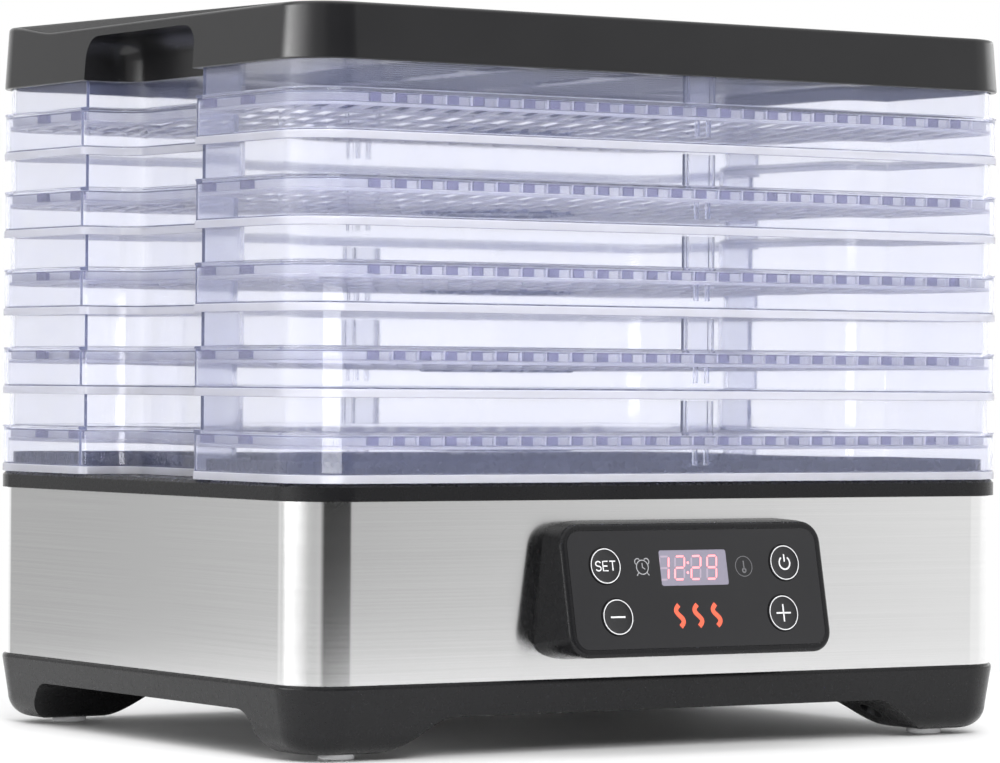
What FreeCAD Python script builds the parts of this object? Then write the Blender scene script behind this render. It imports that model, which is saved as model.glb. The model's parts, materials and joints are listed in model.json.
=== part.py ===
"""Electric food dehydrator with five stacked clear trays.

Millimetres, +Z up.  The origin is the middle of the footprint at floor level and the
control panel faces -Y.  One STEP file is written for each separate piece.
"""
import FreeCAD, Part
import math
import os

V = FreeCAD.Vector
ACROSS = V(1, 0, 0)
BACK = V(0, 1, 0)
UP = V(0, 0, 1)
CENTRE = V(0, 0, 0)

# ---------------------------------------------------------------- driving dimensions: outside
WIDTH = 330.0            # steel band, along X
DEPTH = 256.4            # steel band, along Y
CORNER_R = 20.0          # steel band's corner radius

FOOT_Z = 2.5             # underside of the plastic feet, on top of the rubber pads
FLOOR_Z = 17.9           # underside of the lower housing's floor
FLOOR_TOP_Z = 20.4       # inside floor of the lower housing
BAND_Z = 28.4            # lower edge of the steel band
DECK_Z = 96.6            # upper edge of the steel band
RIM_Z = 102.9            # top of the black rim that the lowest tray stands on
COLLAR_Z = 111.0         # top of the collar that centres the lowest tray

# Outlines are given as offsets outwards from the steel band's outline.
HOUSING_OUT = (-1.1, 1.3)            # offsets at the top of the rounded lower edge and at the band
HOUSING_EDGE = (9.9, 9.5)            # width and height of the rounded lower edge
HOUSING_EDGE_STEPS = 6
HOUSING_LIP = (0.3, 1.5)             # width and height of the bevel under the band
HOUSING_WALL_T = 2.0
FRONT_ARCH = (99.0, 130.0, 15.8)     # half width at the top, half width at the feet, height
FRONT_EASE = (10.0, 10.0)            # how far its ramp runs level at the foot and at the top
SIDE_ARCH = (78.0, 97.0, FLOOR_Z)
SIDE_EASE = (7.0, 12.0)
INTAKE_R = 58.0
INTAKE_PITCH = 9.0
INTAKE_SLOT = 4.5

PAD_AT = (138.6, 107.0)  # rubber pads
PAD_R = 6.9
PAD_PEG_R = 2.5
PAD_PEG_H = 4.0
FOOT_POCKET = (26.0, 22.0, 4.0)      # width, depth and corner radius of the hollow in each foot
FOOT_POCKET_Z = 9.0

BAND_T = 0.8
PANEL_WINDOW = (54.0, 42.0, 82.0)    # half width, lowest and highest point of the opening
RIM_OUT = 1.64
RIM_EDGE = 1.2
DECK_T = 2.8
DECK_SPIGOT = 6.0        # how far the deck reaches down inside the band
DECK_WALL_IN = (3.4, 5.5)            # inner faces of the spigot and of the collar
POST_AT = (114.0, 104.0) # screw posts that tie the deck to the lower housing
POST_R = 4.5
POST_PILOT_R = 2.0
SCREW_HEAD_R = 3.8
SCREW_HEAD_H = 2.2
SCREW_WELL_GAP = 0.6     # round the screw's head, in the well that leads to it
SCREW_REACH = 12.0       # how far a screw enters its post
CROSS_HALF = 2.4         # half length and half width of a screw's cross recess
CROSS_SLOT_HALF = 0.5

GLAND_AT = (115.0, 45.0)             # (X, Z) of the mains cord's gland in the rear of the band
GLAND_BORE_R = 3.6
GLAND_NECK_R = 6.0       # part that passes through the band
GLAND_PROUD = 8.0
GLAND_DEEP = 8.0
GLAND_FLANGE = (9.0, 3.0)            # radius, thickness
GLAND_CONE = (7.0, 5.4)

# ---------------------------------------------------------------- driving dimensions: fan and heater
DUCT_R = 76.0
DUCT_Z = 66.0
DUCT_T = 1.2
DUCT_FLANGE = 8.0
DUCT_LEG_R = 3.0
GRILLE_T = 2.0
GRILLE_PITCH = 10.0
GRILLE_SLOT = 6.0

STRAP_Z = 34.0           # sheet strap under the motor
STRAP_T = 1.5
STRAP_HALF = (66.0, 12.0)
STRAP_FOOT = 14.0
CORE_Z = 46.0
CORE_H = 16.0
COIL_PROUD = 6.0         # how far the coil stands above and below the core
ROTOR_R = 15.0
ROTOR_GAP = 0.4
SHAFT_R = 2.0
SHAFT_Z = 37.5
BUSH_R = 5.0
BUSH_CLEAR = 0.05
BRACKET_HALF = (28.0, 6.0)
BRACKET_T = 2.0
BRACKET_LOW_Z = 41.0
BRACKET_HIGH_Z = 65.0
IMPELLER_Z = 71.0
IMPELLER_H = 13.0
IMPELLER_R = 70.0
HUB_BOSS_R = 14.0
BLADE_COUNT = 7
BLADE_PITCH = 32.0       # degrees
BLADE_CHORD = 21.0
BLADE_T = 1.4
NUT_R = 4.0
NUT_H = 2.4

HEATER_R = 60.0
HEATER_Z = 91.5
HEATER_TUBE_R = 2.6
HEATER_LEG_X = 8.0       # the ring's two ends turn out at this distance either side of the middle
HEATER_LEG = 26.0
CLIP_ANGLES = (30, 90, 150)
SENSOR_X = DUCT_R + 12
FUSE_X = -DUCT_R - 9

BOARD_Z = 26.0
BOARD_T = 1.6
BOARD_BOX = (-150.0, -96.0, -42.0, 42.0)
BOARD_SPACER_R = 2.5

# ---------------------------------------------------------------- driving dimensions: control pod
POD_FACE_W = 121.8       # sloping control panel
POD_FACE_R = 8.5
POD_TOP = (-10.3, 87.8)  # (distance in front of the band, height) of its top edge
POD_LOW = (-20.9, 37.7)  # the same for its bottom edge
POD_BACK_HALF = (65.4, 60.6)         # half width where it meets the band, bottom and top
POD_BACK_Z = (36.0, 88.6)
POD_WALL_T = 2.2
POD_SCREWS = ((-57.0, 47.0), (57.0, 47.0), (-50.0, 40.0), (50.0, 40.0))     # (X, Z)
OVERLAY_T = 1.0
OVERLAY_DEEP = 1.2       # depth of the recess that holds the overlay
OVERLAY_EDGE = 2.8       # bezel left round the overlay
DISPLAY_AT = (-0.8, 8.0)
DISPLAY_SIZE = (31.4, 13.8)
PANEL_BOARD = (50.0, 17.0)           # half width and half height of the control board
PANEL_BOARD_OUT = -10.0  # outer face of the control board, behind the panel's face
SWITCH_H = 3.4
SWITCH_PLUNGER = 0.8
BUTTON_R = 7.0
BUTTON_PROUD = 0.5
BUTTON_EDGE = 0.35
BUTTON_TRAVEL = 0.8
BUTTON_FLANGE = 1.2
BUTTON_STEM_R = 2.0
BUTTON_PLACES = {        # (across, up the slope) from the middle of the panel
    "button_set": (-41.9, 9.2),
    "button_minus": (-38.7, -10.4),
    "button_power": (41.9, 9.2),
    "button_plus": (38.7, -10.4),
}

# ---------------------------------------------------------------- driving dimensions: trays and lid
TRAY_COUNT = 5
TRAY_PITCH = 31.75       # rise from one tray to the next
TRAY_GAP = 0.1           # standing clearance under the lowest tray
TRAY_WALL_T = 1.8
SKIRT_H = 18.9           # wide lower part of a tray
SKIRT_OUT = 1.8
WALL_OUT = -1.0          # narrow upper part
LAP_H = 1.8              # how far a tray's wall reaches up into the next skirt
LAP_CLEAR = 0.3          # clearance round and above a lapped wall
LEDGE_T = 1.2
POST_X = (5.6, 18.9)     # off-centre posts, so that a turned tray stacks differently
POST_DEEP = 3.0
RIB_X = (9.1, 14.4)      # two thin ribs inside the skirt, under each post
RIB_T = 1.2
MESH_RISE = 12.6         # underside of the mesh above the bottom of the skirt
MESH_T = 2.0
MESH_PITCH = (11.35, 36.0)           # across and along the slanting slots
MESH_BAR = (2.2, 3.0)    # strands between slots, crossbars between rows
MESH_ROWS = 7
MESH_EDGE = 8.0          # solid border of the mesh
HUB_R = 30.5             # solid disc in the middle of the mesh
HUB_DROP = 1.1           # how far it hangs below the mesh
HUB_PROUD = 0.6          # how far it stands above the mesh

NOTCH_HALF = 46.0        # hand notches in both short sides
NOTCH_X = 142.0          # distance of the notch's back from the middle
NOTCH_R = 11.0
NOTCH_TOP_Z = 276.5      # where the notch ends under the lid's top

LID_Z = 259.3            # lower edge of the lid
LID_TOP_Z = 280.5
LID_OUT_LOW = 1.86
LID_OUT_TOP = 0.32
LID_EDGE = 1.0
LID_ROOF_T = 2.5
LID_KICK = 4.0           # rise of the lid's rear edge
KICK_Y = (75.0, 114.0)   # where the rise starts and where it ends
VENT_FIELD = (204.0, 150.0)
VENT_FIELD_R = 10.0
VENT_FIELD_DEEP = 1.0
VENT_SLOT = (46.0, 4.5)
VENT_PITCH = (62.0, 10.5)
VENT_ROWS = 13

# ---------------------------------------------------------------- sizes worked out
HALF_W = WIDTH / 2
HALF_D = DEPTH / 2
FRONT_REACH = HALF_D - POD_LOW[0]
REAR_REACH = HALF_D + GLAND_PROUD
SHIFT_Y = (FRONT_REACH - REAR_REACH) / 2       # puts the origin under the middle
TRAY_Z = [RIM_Z + TRAY_GAP + TRAY_PITCH * i for i in range(TRAY_COUNT)]
POD_RISE = POD_TOP[1] - POD_LOW[1]
POD_RUN = POD_TOP[0] - POD_LOW[0]
POD_FACE_H = math.hypot(POD_RISE, POD_RUN)
POD_TILT = math.degrees(math.atan2(POD_RISE, POD_RUN))
POD_MIDDLE = V(0, -HALF_D + (POD_TOP[0] + POD_LOW[0]) / 2, (POD_TOP[1] + POD_LOW[1]) / 2)

# ---------------------------------------------------------------- cutting tools and far reaches
PAST = 1.0               # how far a cut runs past the face that it opens
FAR = 300.0              # beyond any face of the machine


# ---------------------------------------------------------------- shape helpers
def box(x0, x1, y0, y1, z0, z1):
    """Box between opposite corners."""
    return Part.makeBox(x1 - x0, y1 - y0, z1 - z0, V(x0, y0, z0))


def cylinder(x, y, z0, z1, radius):
    """Upright cylinder."""
    return Part.makeCylinder(radius, z1 - z0, V(x, y, z0), UP)


def level_cylinder(x, z, y0, y1, radius):
    """Cylinder that lies along Y."""
    return Part.makeCylinder(radius, y1 - y0, V(x, y0, z), BACK)


def fuse(shapes):
    """One solid from touching or overlapping ones."""
    first, rest = shapes[0], shapes[1:]
    return first.multiFuse(rest).removeSplitter() if rest else first


def corners(place):
    """The four mirrored positions of a point."""
    return [(side_x * place[0], side_y * place[1]) for side_x in (-1, 1) for side_y in (-1, 1)]


def line(start, end):
    return Part.LineSegment(start, end).toShape()


def rounded_rect(width, depth, radius, x=0.0, y=0.0, z=0.0):
    """Closed wire of a rounded rectangle in a level plane."""
    arcs = []
    for quarter in range(4):
        side_x = 1 if quarter in (0, 3) else -1
        side_y = 1 if quarter in (0, 1) else -1
        centre = V(x + side_x * (width / 2 - radius), y + side_y * (depth / 2 - radius), z)
        angles = [math.radians(90 * quarter + 45 * step) for step in range(3)]
        arcs.append([centre + V(radius * math.cos(angle), radius * math.sin(angle), 0) for angle in angles])
    edges = []
    for index, arc in enumerate(arcs):
        edges.append(Part.Arc(*arc).toShape())
        edges.append(line(arc[-1], arcs[(index + 1) % 4][0]))
    return Part.Wire(edges)


def outline(offset, z):
    """The band's outline, grown by an offset."""
    return rounded_rect(WIDTH + 2 * offset, DEPTH + 2 * offset, CORNER_R + offset, z=z)


def prism(wire, height):
    """Solid that rises from a closed wire."""
    return Part.Face(wire).extrude(V(0, 0, height))


def block(offset, z0, z1):
    """Solid with the band's outline, grown by an offset."""
    return prism(outline(offset, z0), z1 - z0)


def tapered(offset0, z0, offset1, z1):
    """Solid whose outline changes offset from one level to another."""
    return Part.makeLoft([outline(offset0, z0), outline(offset1, z1)], True, True)


def notches(offset, z0, z1):
    """The two hand notches as solids to cut from an outline of the same offset."""
    length = 80.0
    tools = []
    for side in (-1, 1):
        middle = side * (NOTCH_X + offset + length / 2)
        wire = rounded_rect(length, 2 * (NOTCH_HALF - offset), NOTCH_R - offset, x=middle, z=z0)
        tools.append(prism(wire, z1 - z0))
    return tools


def notched(offset, z0, z1):
    """Solid with the notched outline of the trays."""
    return block(offset, z0, z1).cut(notches(offset, z0 - PAST, z1 + PAST))


def notched_ring(outer, inner, z0, z1):
    """Wall between two notched outlines."""
    return notched(outer, z0, z1).cut(notched(inner, z0 - PAST, z1 + PAST))


def slot_field(radius, pitch, width, z0, z1):
    """Parallel slots that fill a circle, with a cross bar through the middle."""
    bar_half = 4.0
    shortest = 16.0
    slots = []
    count = int(radius / pitch)
    for row in range(-count, count + 1):
        y = row * pitch
        half = math.sqrt(max(radius ** 2 - y ** 2, 0)) - width
        if half < shortest:
            continue
        for side in (-1, 1):
            middle = side * (half + bar_half) / 2
            wire = rounded_rect(half - bar_half, width, width / 2 - 0.05, x=middle, y=y, z=z0)
            slots.append(prism(wire, z1 - z0))
    return slots


# ---------------------------------------------------------------- base: shells
def arch(sizes, eases):
    """Flat-topped arch between two feet, drawn in the XZ plane and run along Y."""
    flat_half, foot_half, height = sizes
    foot_ease, top_ease = eases

    def ramp(side):
        points = [(foot_half, FOOT_Z), (foot_half - foot_ease, FOOT_Z),
                  (flat_half + top_ease, height), (flat_half, height)]
        curve = Part.BezierCurve()
        curve.setPoles([V(side * x, -FAR, z) for x, z in points])
        return curve.toShape()
    below = -PAST
    edges = [
        ramp(-1),
        line(V(-flat_half, -FAR, height), V(flat_half, -FAR, height)),
        ramp(1),
        line(V(foot_half, -FAR, FOOT_Z), V(foot_half, -FAR, below)),
        line(V(foot_half, -FAR, below), V(-foot_half, -FAR, below)),
        line(V(-foot_half, -FAR, below), V(-foot_half, -FAR, FOOT_Z)),
    ]
    wire = Part.Wire(Part.__sortEdges__(edges))
    return Part.Face(wire).extrude(BACK * (2 * FAR))


def foot_pocket(x, y):
    """Hollow inside one foot, towards the machine's end."""
    width, depth, radius = FOOT_POCKET
    towards_middle = math.copysign(6.0, x)
    pocket = rounded_rect(width, depth, radius, x=x - towards_middle, y=y, z=FOOT_POCKET_Z)
    return prism(pocket, FLOOR_TOP_Z + PAST - FOOT_POCKET_Z)


def housing_levels():
    """(offset, height) pairs up the housing's side, from the flat underside of the feet."""
    low, high = HOUSING_OUT
    edge_w, edge_h = HOUSING_EDGE
    lip_w, lip_h = HOUSING_LIP
    levels = []
    for step in range(HOUSING_EDGE_STEPS + 1):
        angle = math.pi / 2 * step / HOUSING_EDGE_STEPS
        levels.append((low - edge_w * (1 - math.sin(angle)), FOOT_Z + edge_h * (1 - math.cos(angle))))
    return levels + [(high, BAND_Z - lip_h), (high - lip_w, BAND_Z)]


def lower_housing():
    """Black bottom shell: four corner feet, arches between them, air intake slots."""
    levels = housing_levels()
    layers = [tapered(*below, *above) for below, above in zip(levels, levels[1:])]
    side_arch = arch(SIDE_ARCH, SIDE_EASE)
    side_arch.rotate(CENTRE, UP, 90)
    cuts = [arch(FRONT_ARCH, FRONT_EASE), side_arch, block(-HOUSING_WALL_T, FLOOR_TOP_Z, BAND_Z + PAST)]
    for x, y in corners(PAD_AT):
        cuts.append(cylinder(x, y, FOOT_Z - PAST, FOOT_Z + PAD_PEG_H + 0.2, PAD_PEG_R))
        cuts.append(foot_pocket(x, y))
    cuts += slot_field(INTAKE_R, INTAKE_PITCH, INTAKE_SLOT, FLOOR_Z - 8, FLOOR_TOP_Z + PAST)
    for x, y in corners(POST_AT):
        cuts.append(cylinder(x, y, 0, FLOOR_Z, SCREW_HEAD_R + SCREW_WELL_GAP))
        cuts.append(cylinder(x, y, FLOOR_Z - PAST, FLOOR_TOP_Z + PAST, POST_PILOT_R + 0.1))
    return fuse(layers).cut(cuts)


def rubber_feet():
    """Four pads, each with a peg pressed into its foot."""
    pads = []
    for x, y in corners(PAD_AT):
        pad = cylinder(x, y, 0, FOOT_Z, PAD_R)
        peg = cylinder(x, y, FOOT_Z - 0.5, FOOT_Z + PAD_PEG_H, PAD_PEG_R - 0.05)
        pads.append(fuse([pad, peg]))
    return Part.makeCompound(pads)


def steel_band():
    """Brushed stainless band bent round the base, with a window behind the panel."""
    band = block(0, BAND_Z, DECK_Z).cut(block(-BAND_T, BAND_Z - PAST, DECK_Z + PAST))
    half, window_low, window_high = PANEL_WINDOW
    gland_x, gland_z = GLAND_AT
    cuts = [
        box(-half, half, -HALF_D - PAST, -HALF_D + 2, window_low, window_high),
        level_cylinder(gland_x, gland_z, HALF_D - 3, HALF_D + 3, GLAND_NECK_R + 0.1),
    ]
    cuts += [level_cylinder(x, z, -HALF_D - 3, -HALF_D + 3, 1.7) for x, z in POD_SCREWS]
    return band.cut(cuts)


def top_deck():
    """Black deck: rim under the trays, centring collar, posts down to the floor."""
    spigot_in, collar_in = DECK_WALL_IN
    floor_top = DECK_Z + DECK_T
    shell = fuse([
        block(RIM_OUT, DECK_Z, RIM_Z - RIM_EDGE),
        tapered(RIM_OUT, RIM_Z - RIM_EDGE, RIM_OUT - RIM_EDGE, RIM_Z),
        block(-BAND_T - 0.2, DECK_Z - DECK_SPIGOT, DECK_Z),
    ])
    shell = shell.cut([
        block(-collar_in, floor_top, RIM_Z + PAST),
        block(-spigot_in, DECK_Z - DECK_SPIGOT - PAST, DECK_Z),
    ])
    collar = notched_ring(-spigot_in, -collar_in, floor_top - 0.5, COLLAR_Z)
    parts = [shell, collar]
    for tool in notches(-collar_in + 0.5, DECK_Z, RIM_Z):
        parts.append(tool.common(block(0, DECK_Z, RIM_Z)))
    pilots = []
    for x, y in corners(POST_AT):
        parts.append(cylinder(x, y, FLOOR_TOP_Z, DECK_Z + PAST, POST_R))
        pilots.append(cylinder(x, y, FLOOR_TOP_Z - PAST, FLOOR_TOP_Z + SCREW_REACH + 4, POST_PILOT_R))
    duct = cylinder(0, 0, DECK_Z - DECK_SPIGOT - PAST, floor_top + PAST, DUCT_R)
    return fuse(parts).cut(pilots + [duct])


def outlet_grille():
    """Round grille over the fan, dropped onto the deck."""
    z = DECK_Z + DECK_T
    plate = cylinder(0, 0, z, z + GRILLE_T, DUCT_R + 7)
    return plate.cut(slot_field(DUCT_R - 2, GRILLE_PITCH, GRILLE_SLOT, z - PAST, z + GRILLE_T + PAST))


def cord_gland():
    """Flanged bush in the rear wall for the mains cord."""
    x, z = GLAND_AT
    flange_r, flange_t = GLAND_FLANGE
    outer = [
        level_cylinder(x, z, HALF_D, HALF_D + flange_t, flange_r),
        Part.makeCone(*GLAND_CONE, GLAND_PROUD - flange_t, V(x, HALF_D + flange_t, z), BACK),
        level_cylinder(x, z, HALF_D - GLAND_DEEP, HALF_D, GLAND_NECK_R),
    ]
    bore = level_cylinder(x, z, HALF_D - GLAND_DEEP - PAST, HALF_D + GLAND_PROUD + PAST, GLAND_BORE_R)
    return fuse(outer).cut(bore)


def base_screws():
    """Four cross-head screws from below into the deck's posts."""
    low = FLOOR_Z - SCREW_HEAD_H
    cross_z = (low - PAST, low + 1.0)
    screws = []
    for x, y in corners(POST_AT):
        head = cylinder(x, y, low, FLOOR_Z, SCREW_HEAD_R)
        shank = cylinder(x, y, FLOOR_Z - 0.5, FLOOR_TOP_Z + SCREW_REACH, POST_PILOT_R - 0.05)
        cross = [
            box(x - CROSS_HALF, x + CROSS_HALF, y - CROSS_SLOT_HALF, y + CROSS_SLOT_HALF, *cross_z),
            box(x - CROSS_SLOT_HALF, x + CROSS_SLOT_HALF, y - CROSS_HALF, y + CROSS_HALF, *cross_z),
        ]
        screws.append(fuse([head, shank]).cut(cross))
    return Part.makeCompound(screws)


# ---------------------------------------------------------------- base: fan and heater
def motor_mount():
    """Sheet strap that carries the motor over the intake."""
    half_x, half_y = STRAP_HALF
    top = STRAP_Z + STRAP_T
    strap = [box(-half_x, half_x, -half_y, half_y, STRAP_Z, top)]
    for side in (-1, 1):
        leg = sorted([side * half_x, side * (half_x - STRAP_T)])
        foot = sorted([side * (half_x - STRAP_T), side * (half_x + STRAP_FOOT)])
        strap.append(box(*leg, -half_y, half_y, FLOOR_TOP_Z, top))
        strap.append(box(*foot, -half_y, half_y, FLOOR_TOP_Z, FLOOR_TOP_Z + STRAP_T))
    return fuse(strap).cut(cylinder(0, 0, STRAP_Z - PAST, top + PAST, BUSH_R + 1))


def motor_core():
    """Laminated iron core with its bore and coil window."""
    top = CORE_Z + CORE_H
    core = box(-30, 30, -22, 34, CORE_Z, top)
    window = box(-18, 18, 20, 27, CORE_Z - PAST, top + PAST)
    return core.cut([cylinder(0, 0, CORE_Z - PAST, top + PAST, ROTOR_R + ROTOR_GAP), window])


def motor_coil():
    """Taped coil wound on the core's outer limb."""
    outer = box(-16, 16, 21, 40, CORE_Z - COIL_PROUD, CORE_Z + CORE_H + COIL_PROUD)
    limb = box(-17, 17, 27, 34, CORE_Z, CORE_Z + CORE_H)
    return outer.cut(limb)


def motor_bracket(bar_z, leg_low, leg_high):
    """Bearing bridge across the core, with a sintered bush in its middle."""
    half_x, half_y = BRACKET_HALF
    parts = [box(-half_x, half_x, -half_y, half_y, bar_z, bar_z + BRACKET_T)]
    for side in (-1, 1):
        leg = sorted([side * half_x, side * (half_x - 6)])
        parts.append(box(*leg, -half_y, half_y, leg_low, leg_high))
    parts.append(cylinder(0, 0, bar_z - 2.5, bar_z + 3.0, BUSH_R))
    return fuse(parts).cut(cylinder(0, 0, bar_z - 5, bar_z + 5, SHAFT_R + BUSH_CLEAR))


def motor_shaft():
    """Steel shaft through both bushes, the rotor and the impeller."""
    return cylinder(0, 0, SHAFT_Z, IMPELLER_Z + IMPELLER_H + 3, SHAFT_R)


def motor_rotor():
    """Squirrel-cage rotor pressed on the shaft."""
    rotor = cylinder(0, 0, CORE_Z, CORE_Z + CORE_H, ROTOR_R)
    return rotor.cut(cylinder(0, 0, CORE_Z - PAST, CORE_Z + CORE_H + PAST, SHAFT_R))


def fan_impeller():
    """Axial impeller: hub and seven pitched blades."""
    top = IMPELLER_Z + IMPELLER_H
    root = HUB_BOSS_R - 3
    parts = [cylinder(0, 0, IMPELLER_Z, top, HUB_BOSS_R)]
    for index in range(BLADE_COUNT):
        corner = V(root, -BLADE_CHORD / 2, -BLADE_T / 2)
        blade = Part.makeBox(IMPELLER_R - root, BLADE_CHORD, BLADE_T, corner)
        blade.rotate(CENTRE, ACROSS, BLADE_PITCH)
        blade.translate(V(0, 0, IMPELLER_Z + IMPELLER_H / 2))
        blade.rotate(CENTRE, UP, 360.0 / BLADE_COUNT * index)
        parts.append(blade)
    return fuse(parts).cut(cylinder(0, 0, IMPELLER_Z - PAST, top + PAST, SHAFT_R))


def impeller_nut():
    """Hexagon nut that holds the impeller on its shaft."""
    z = IMPELLER_Z + IMPELLER_H
    angles = [math.radians(60 * index) for index in range(7)]
    hexagon = Part.makePolygon([V(NUT_R * math.cos(angle), NUT_R * math.sin(angle), z) for angle in angles])
    return prism(hexagon, NUT_H).cut(cylinder(0, 0, z - PAST, z + NUT_H + PAST, SHAFT_R))


def air_duct():
    """Sheet duct round the impeller, on four legs."""
    bore = cylinder(0, 0, DUCT_Z - PAST, DECK_Z + PAST, DUCT_R - DUCT_T)
    parts = [
        cylinder(0, 0, DUCT_Z, DECK_Z, DUCT_R),
        cylinder(0, 0, DUCT_Z, DUCT_Z + DUCT_T, DUCT_R + DUCT_FLANGE),
    ]
    for x, y in corners([(DUCT_R + DUCT_FLANGE / 2) * math.sqrt(0.5)] * 2):
        parts.append(cylinder(x, y, FLOOR_TOP_Z, DUCT_Z, DUCT_LEG_R))
    passage = box(-14, 14, -DUCT_R - 10, -DUCT_R + 10, HEATER_Z - 4, DECK_Z + PAST)
    return fuse(parts).cut([bore, passage])


def heater_element():
    """Tubular ring heater with two terminal legs through the duct."""
    gap_half = math.degrees(math.asin(HEATER_LEG_X / HEATER_R))
    ring = Part.makeTorus(HEATER_R, HEATER_TUBE_R, CENTRE, UP, 0, 360, 360 - 2 * gap_half)
    ring.rotate(CENTRE, UP, -90 + gap_half)
    ring.translate(V(0, 0, HEATER_Z))
    parts = [ring]
    for side in (-1, 1):
        knee = V(side * HEATER_LEG_X, -math.sqrt(HEATER_R ** 2 - HEATER_LEG_X ** 2), HEATER_Z)
        parts.append(Part.makeSphere(HEATER_TUBE_R, knee))
        parts.append(Part.makeCylinder(HEATER_TUBE_R, HEATER_LEG, knee, BACK * -1))
    return fuse(parts)


def heater_clips(element):
    """Three ceramic blocks that hang the heater ring from the duct."""
    half_y, half_z = 4.0, 4.2
    reach = DUCT_R - DUCT_T
    clips = []
    for angle in CLIP_ANGLES:
        clip = box(HEATER_R - 5, reach, -half_y, half_y, HEATER_Z - half_z, HEATER_Z + half_z)
        clip = clip.common(cylinder(0, 0, DUCT_Z, DECK_Z, reach))
        clip.rotate(CENTRE, UP, angle)
        clips.append(clip.cut(element))
    return Part.makeCompound(clips)


def temperature_sensor():
    """Thermistor bulb on a short stalk under the deck."""
    bulb_z = DECK_Z - 14.6
    return fuse([cylinder(SENSOR_X, 0, bulb_z, DECK_Z, 2.2), Part.makeSphere(3.2, V(SENSOR_X, 0, bulb_z))])


def thermal_fuse():
    """One-shot thermal cut-out strapped beside the duct."""
    body_z = DECK_Z - 18.6
    body = level_cylinder(FUSE_X, body_z, -8, 8, 3.2)
    tab = box(FUSE_X - 0.6, FUSE_X + 0.6, -5, 5, body_z + 2, DECK_Z)
    return fuse([body, tab])


def power_board():
    """Mains board on four spacers beside the fan."""
    x0, x1, y0, y1 = BOARD_BOX
    inset = 5.0
    parts = [box(x0, x1, y0, y1, BOARD_Z, BOARD_Z + BOARD_T)]
    for x in (x0 + inset, x1 - inset):
        for y in (y0 + inset, y1 - inset):
            parts.append(cylinder(x, y, FLOOR_TOP_Z, BOARD_Z, BOARD_SPACER_R))
    return fuse(parts)


def power_components():
    """Relay, transformer, film capacitor and two electrolytics on the mains board."""
    x0, x1, y0, y1 = BOARD_BOX
    z = BOARD_Z + BOARD_T
    relay = box(x0 + 8, x0 + 26, y0 + 10, y0 + 25, z, z + 15)
    transformer = box(x0 + 8, x0 + 34, y0 + 32, y0 + 54, z, z + 22)
    film_capacitor = box(x1 - 16, x1 - 8, y0 + 12, y0 + 30, z, z + 13)
    large_capacitor = cylinder(x1 - 12, y1 - 16, z, z + 16, 5.0)
    small_capacitor = cylinder(x1 - 26, y1 - 14, z, z + 12, 4.0)
    return Part.makeCompound([relay, transformer, film_capacitor, large_capacitor, small_capacitor])


# ---------------------------------------------------------------- control pod
def on_panel(shape):
    """Moves a shape from panel coordinates (across, up the slope, out) into place."""
    shape.Placement = FreeCAD.Placement(POD_MIDDLE, FreeCAD.Rotation(ACROSS, POD_TILT))
    return shape


def panel_rect(inset, out):
    """Rounded outline of the panel's face in panel coordinates, shrunk by an inset."""
    return rounded_rect(POD_FACE_W - 2 * inset, POD_FACE_H - 2 * inset, POD_FACE_R - inset, z=out)


def pod_back(inset, y):
    """Wire where the pod meets the band: wider at the bottom than at the top."""
    half_low, half_top = [half - inset for half in POD_BACK_HALF]
    z_low, z_top = POD_BACK_Z[0] + inset, POD_BACK_Z[1] - inset
    radius = POD_FACE_R - inset
    points = [V(half_top, y, z_top), V(-half_top, y, z_top), V(-half_low, y, z_low), V(half_low, y, z_low)]
    arcs = []
    for index, corner in enumerate(points):
        to_before = (points[index - 1] - corner).normalize()
        to_after = (points[(index + 1) % 4] - corner).normalize()
        half_angle = to_before.getAngle(to_after) / 2
        reach = radius / math.tan(half_angle)
        bisector = (to_before + to_after).normalize()
        middle = corner + bisector * (radius / math.sin(half_angle) - radius)
        arcs.append([corner + to_before * reach, middle, corner + to_after * reach])
    edges = []
    for index, arc in enumerate(arcs):
        edges.append(Part.Arc(*arc).toShape())
        edges.append(line(arc[-1], arcs[(index + 1) % 4][0]))
    return Part.Wire(edges)


def control_pod():
    """Wedge-shaped housing for the sloping control panel."""
    inner_out = -OVERLAY_DEEP - POD_WALL_T
    outer = Part.makeLoft([pod_back(0, -HALF_D), on_panel(panel_rect(0, 0))], True, True)
    hollow = Part.makeLoft([pod_back(POD_WALL_T, -HALF_D + 0.01),
                            on_panel(panel_rect(POD_WALL_T, inner_out))], True, True)
    recess = prism(panel_rect(OVERLAY_EDGE, -OVERLAY_DEEP), OVERLAY_DEEP + PAST)
    cuts = [hollow, on_panel(recess)]
    for across, up in BUTTON_PLACES.values():
        cuts.append(on_panel(cylinder(across, up, inner_out - 5, PAST, BUTTON_R + 1.8)))
    across, up = DISPLAY_AT
    width, height = DISPLAY_SIZE
    opening = rounded_rect(width + 4, height + 4, 1.5, x=across, y=up, z=inner_out - 5)
    cuts.append(on_panel(prism(opening, PAST - inner_out + 5)))
    return outer.cut(cuts)


def panel_overlay():
    """Gloss black panel plate with holes for the buttons and the display window."""
    plate = prism(panel_rect(OVERLAY_EDGE + 0.1, -OVERLAY_DEEP), OVERLAY_T)
    low, high = -OVERLAY_DEEP - PAST, PAST
    across, up = DISPLAY_AT
    cuts = [prism(rounded_rect(*DISPLAY_SIZE, 1.0, x=across, y=up, z=low), high - low)]
    for across, up in BUTTON_PLACES.values():
        cuts.append(cylinder(across, up, low, high, BUTTON_R + LAP_CLEAR))
    return on_panel(plate.cut(cuts))


def display_window():
    """Smoked pane set into the panel plate."""
    across, up = DISPLAY_AT
    width, height = DISPLAY_SIZE
    wire = rounded_rect(width - 0.1, height - 0.1, 0.95, x=across, y=up, z=-OVERLAY_DEEP)
    return on_panel(prism(wire, OVERLAY_T))


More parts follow.
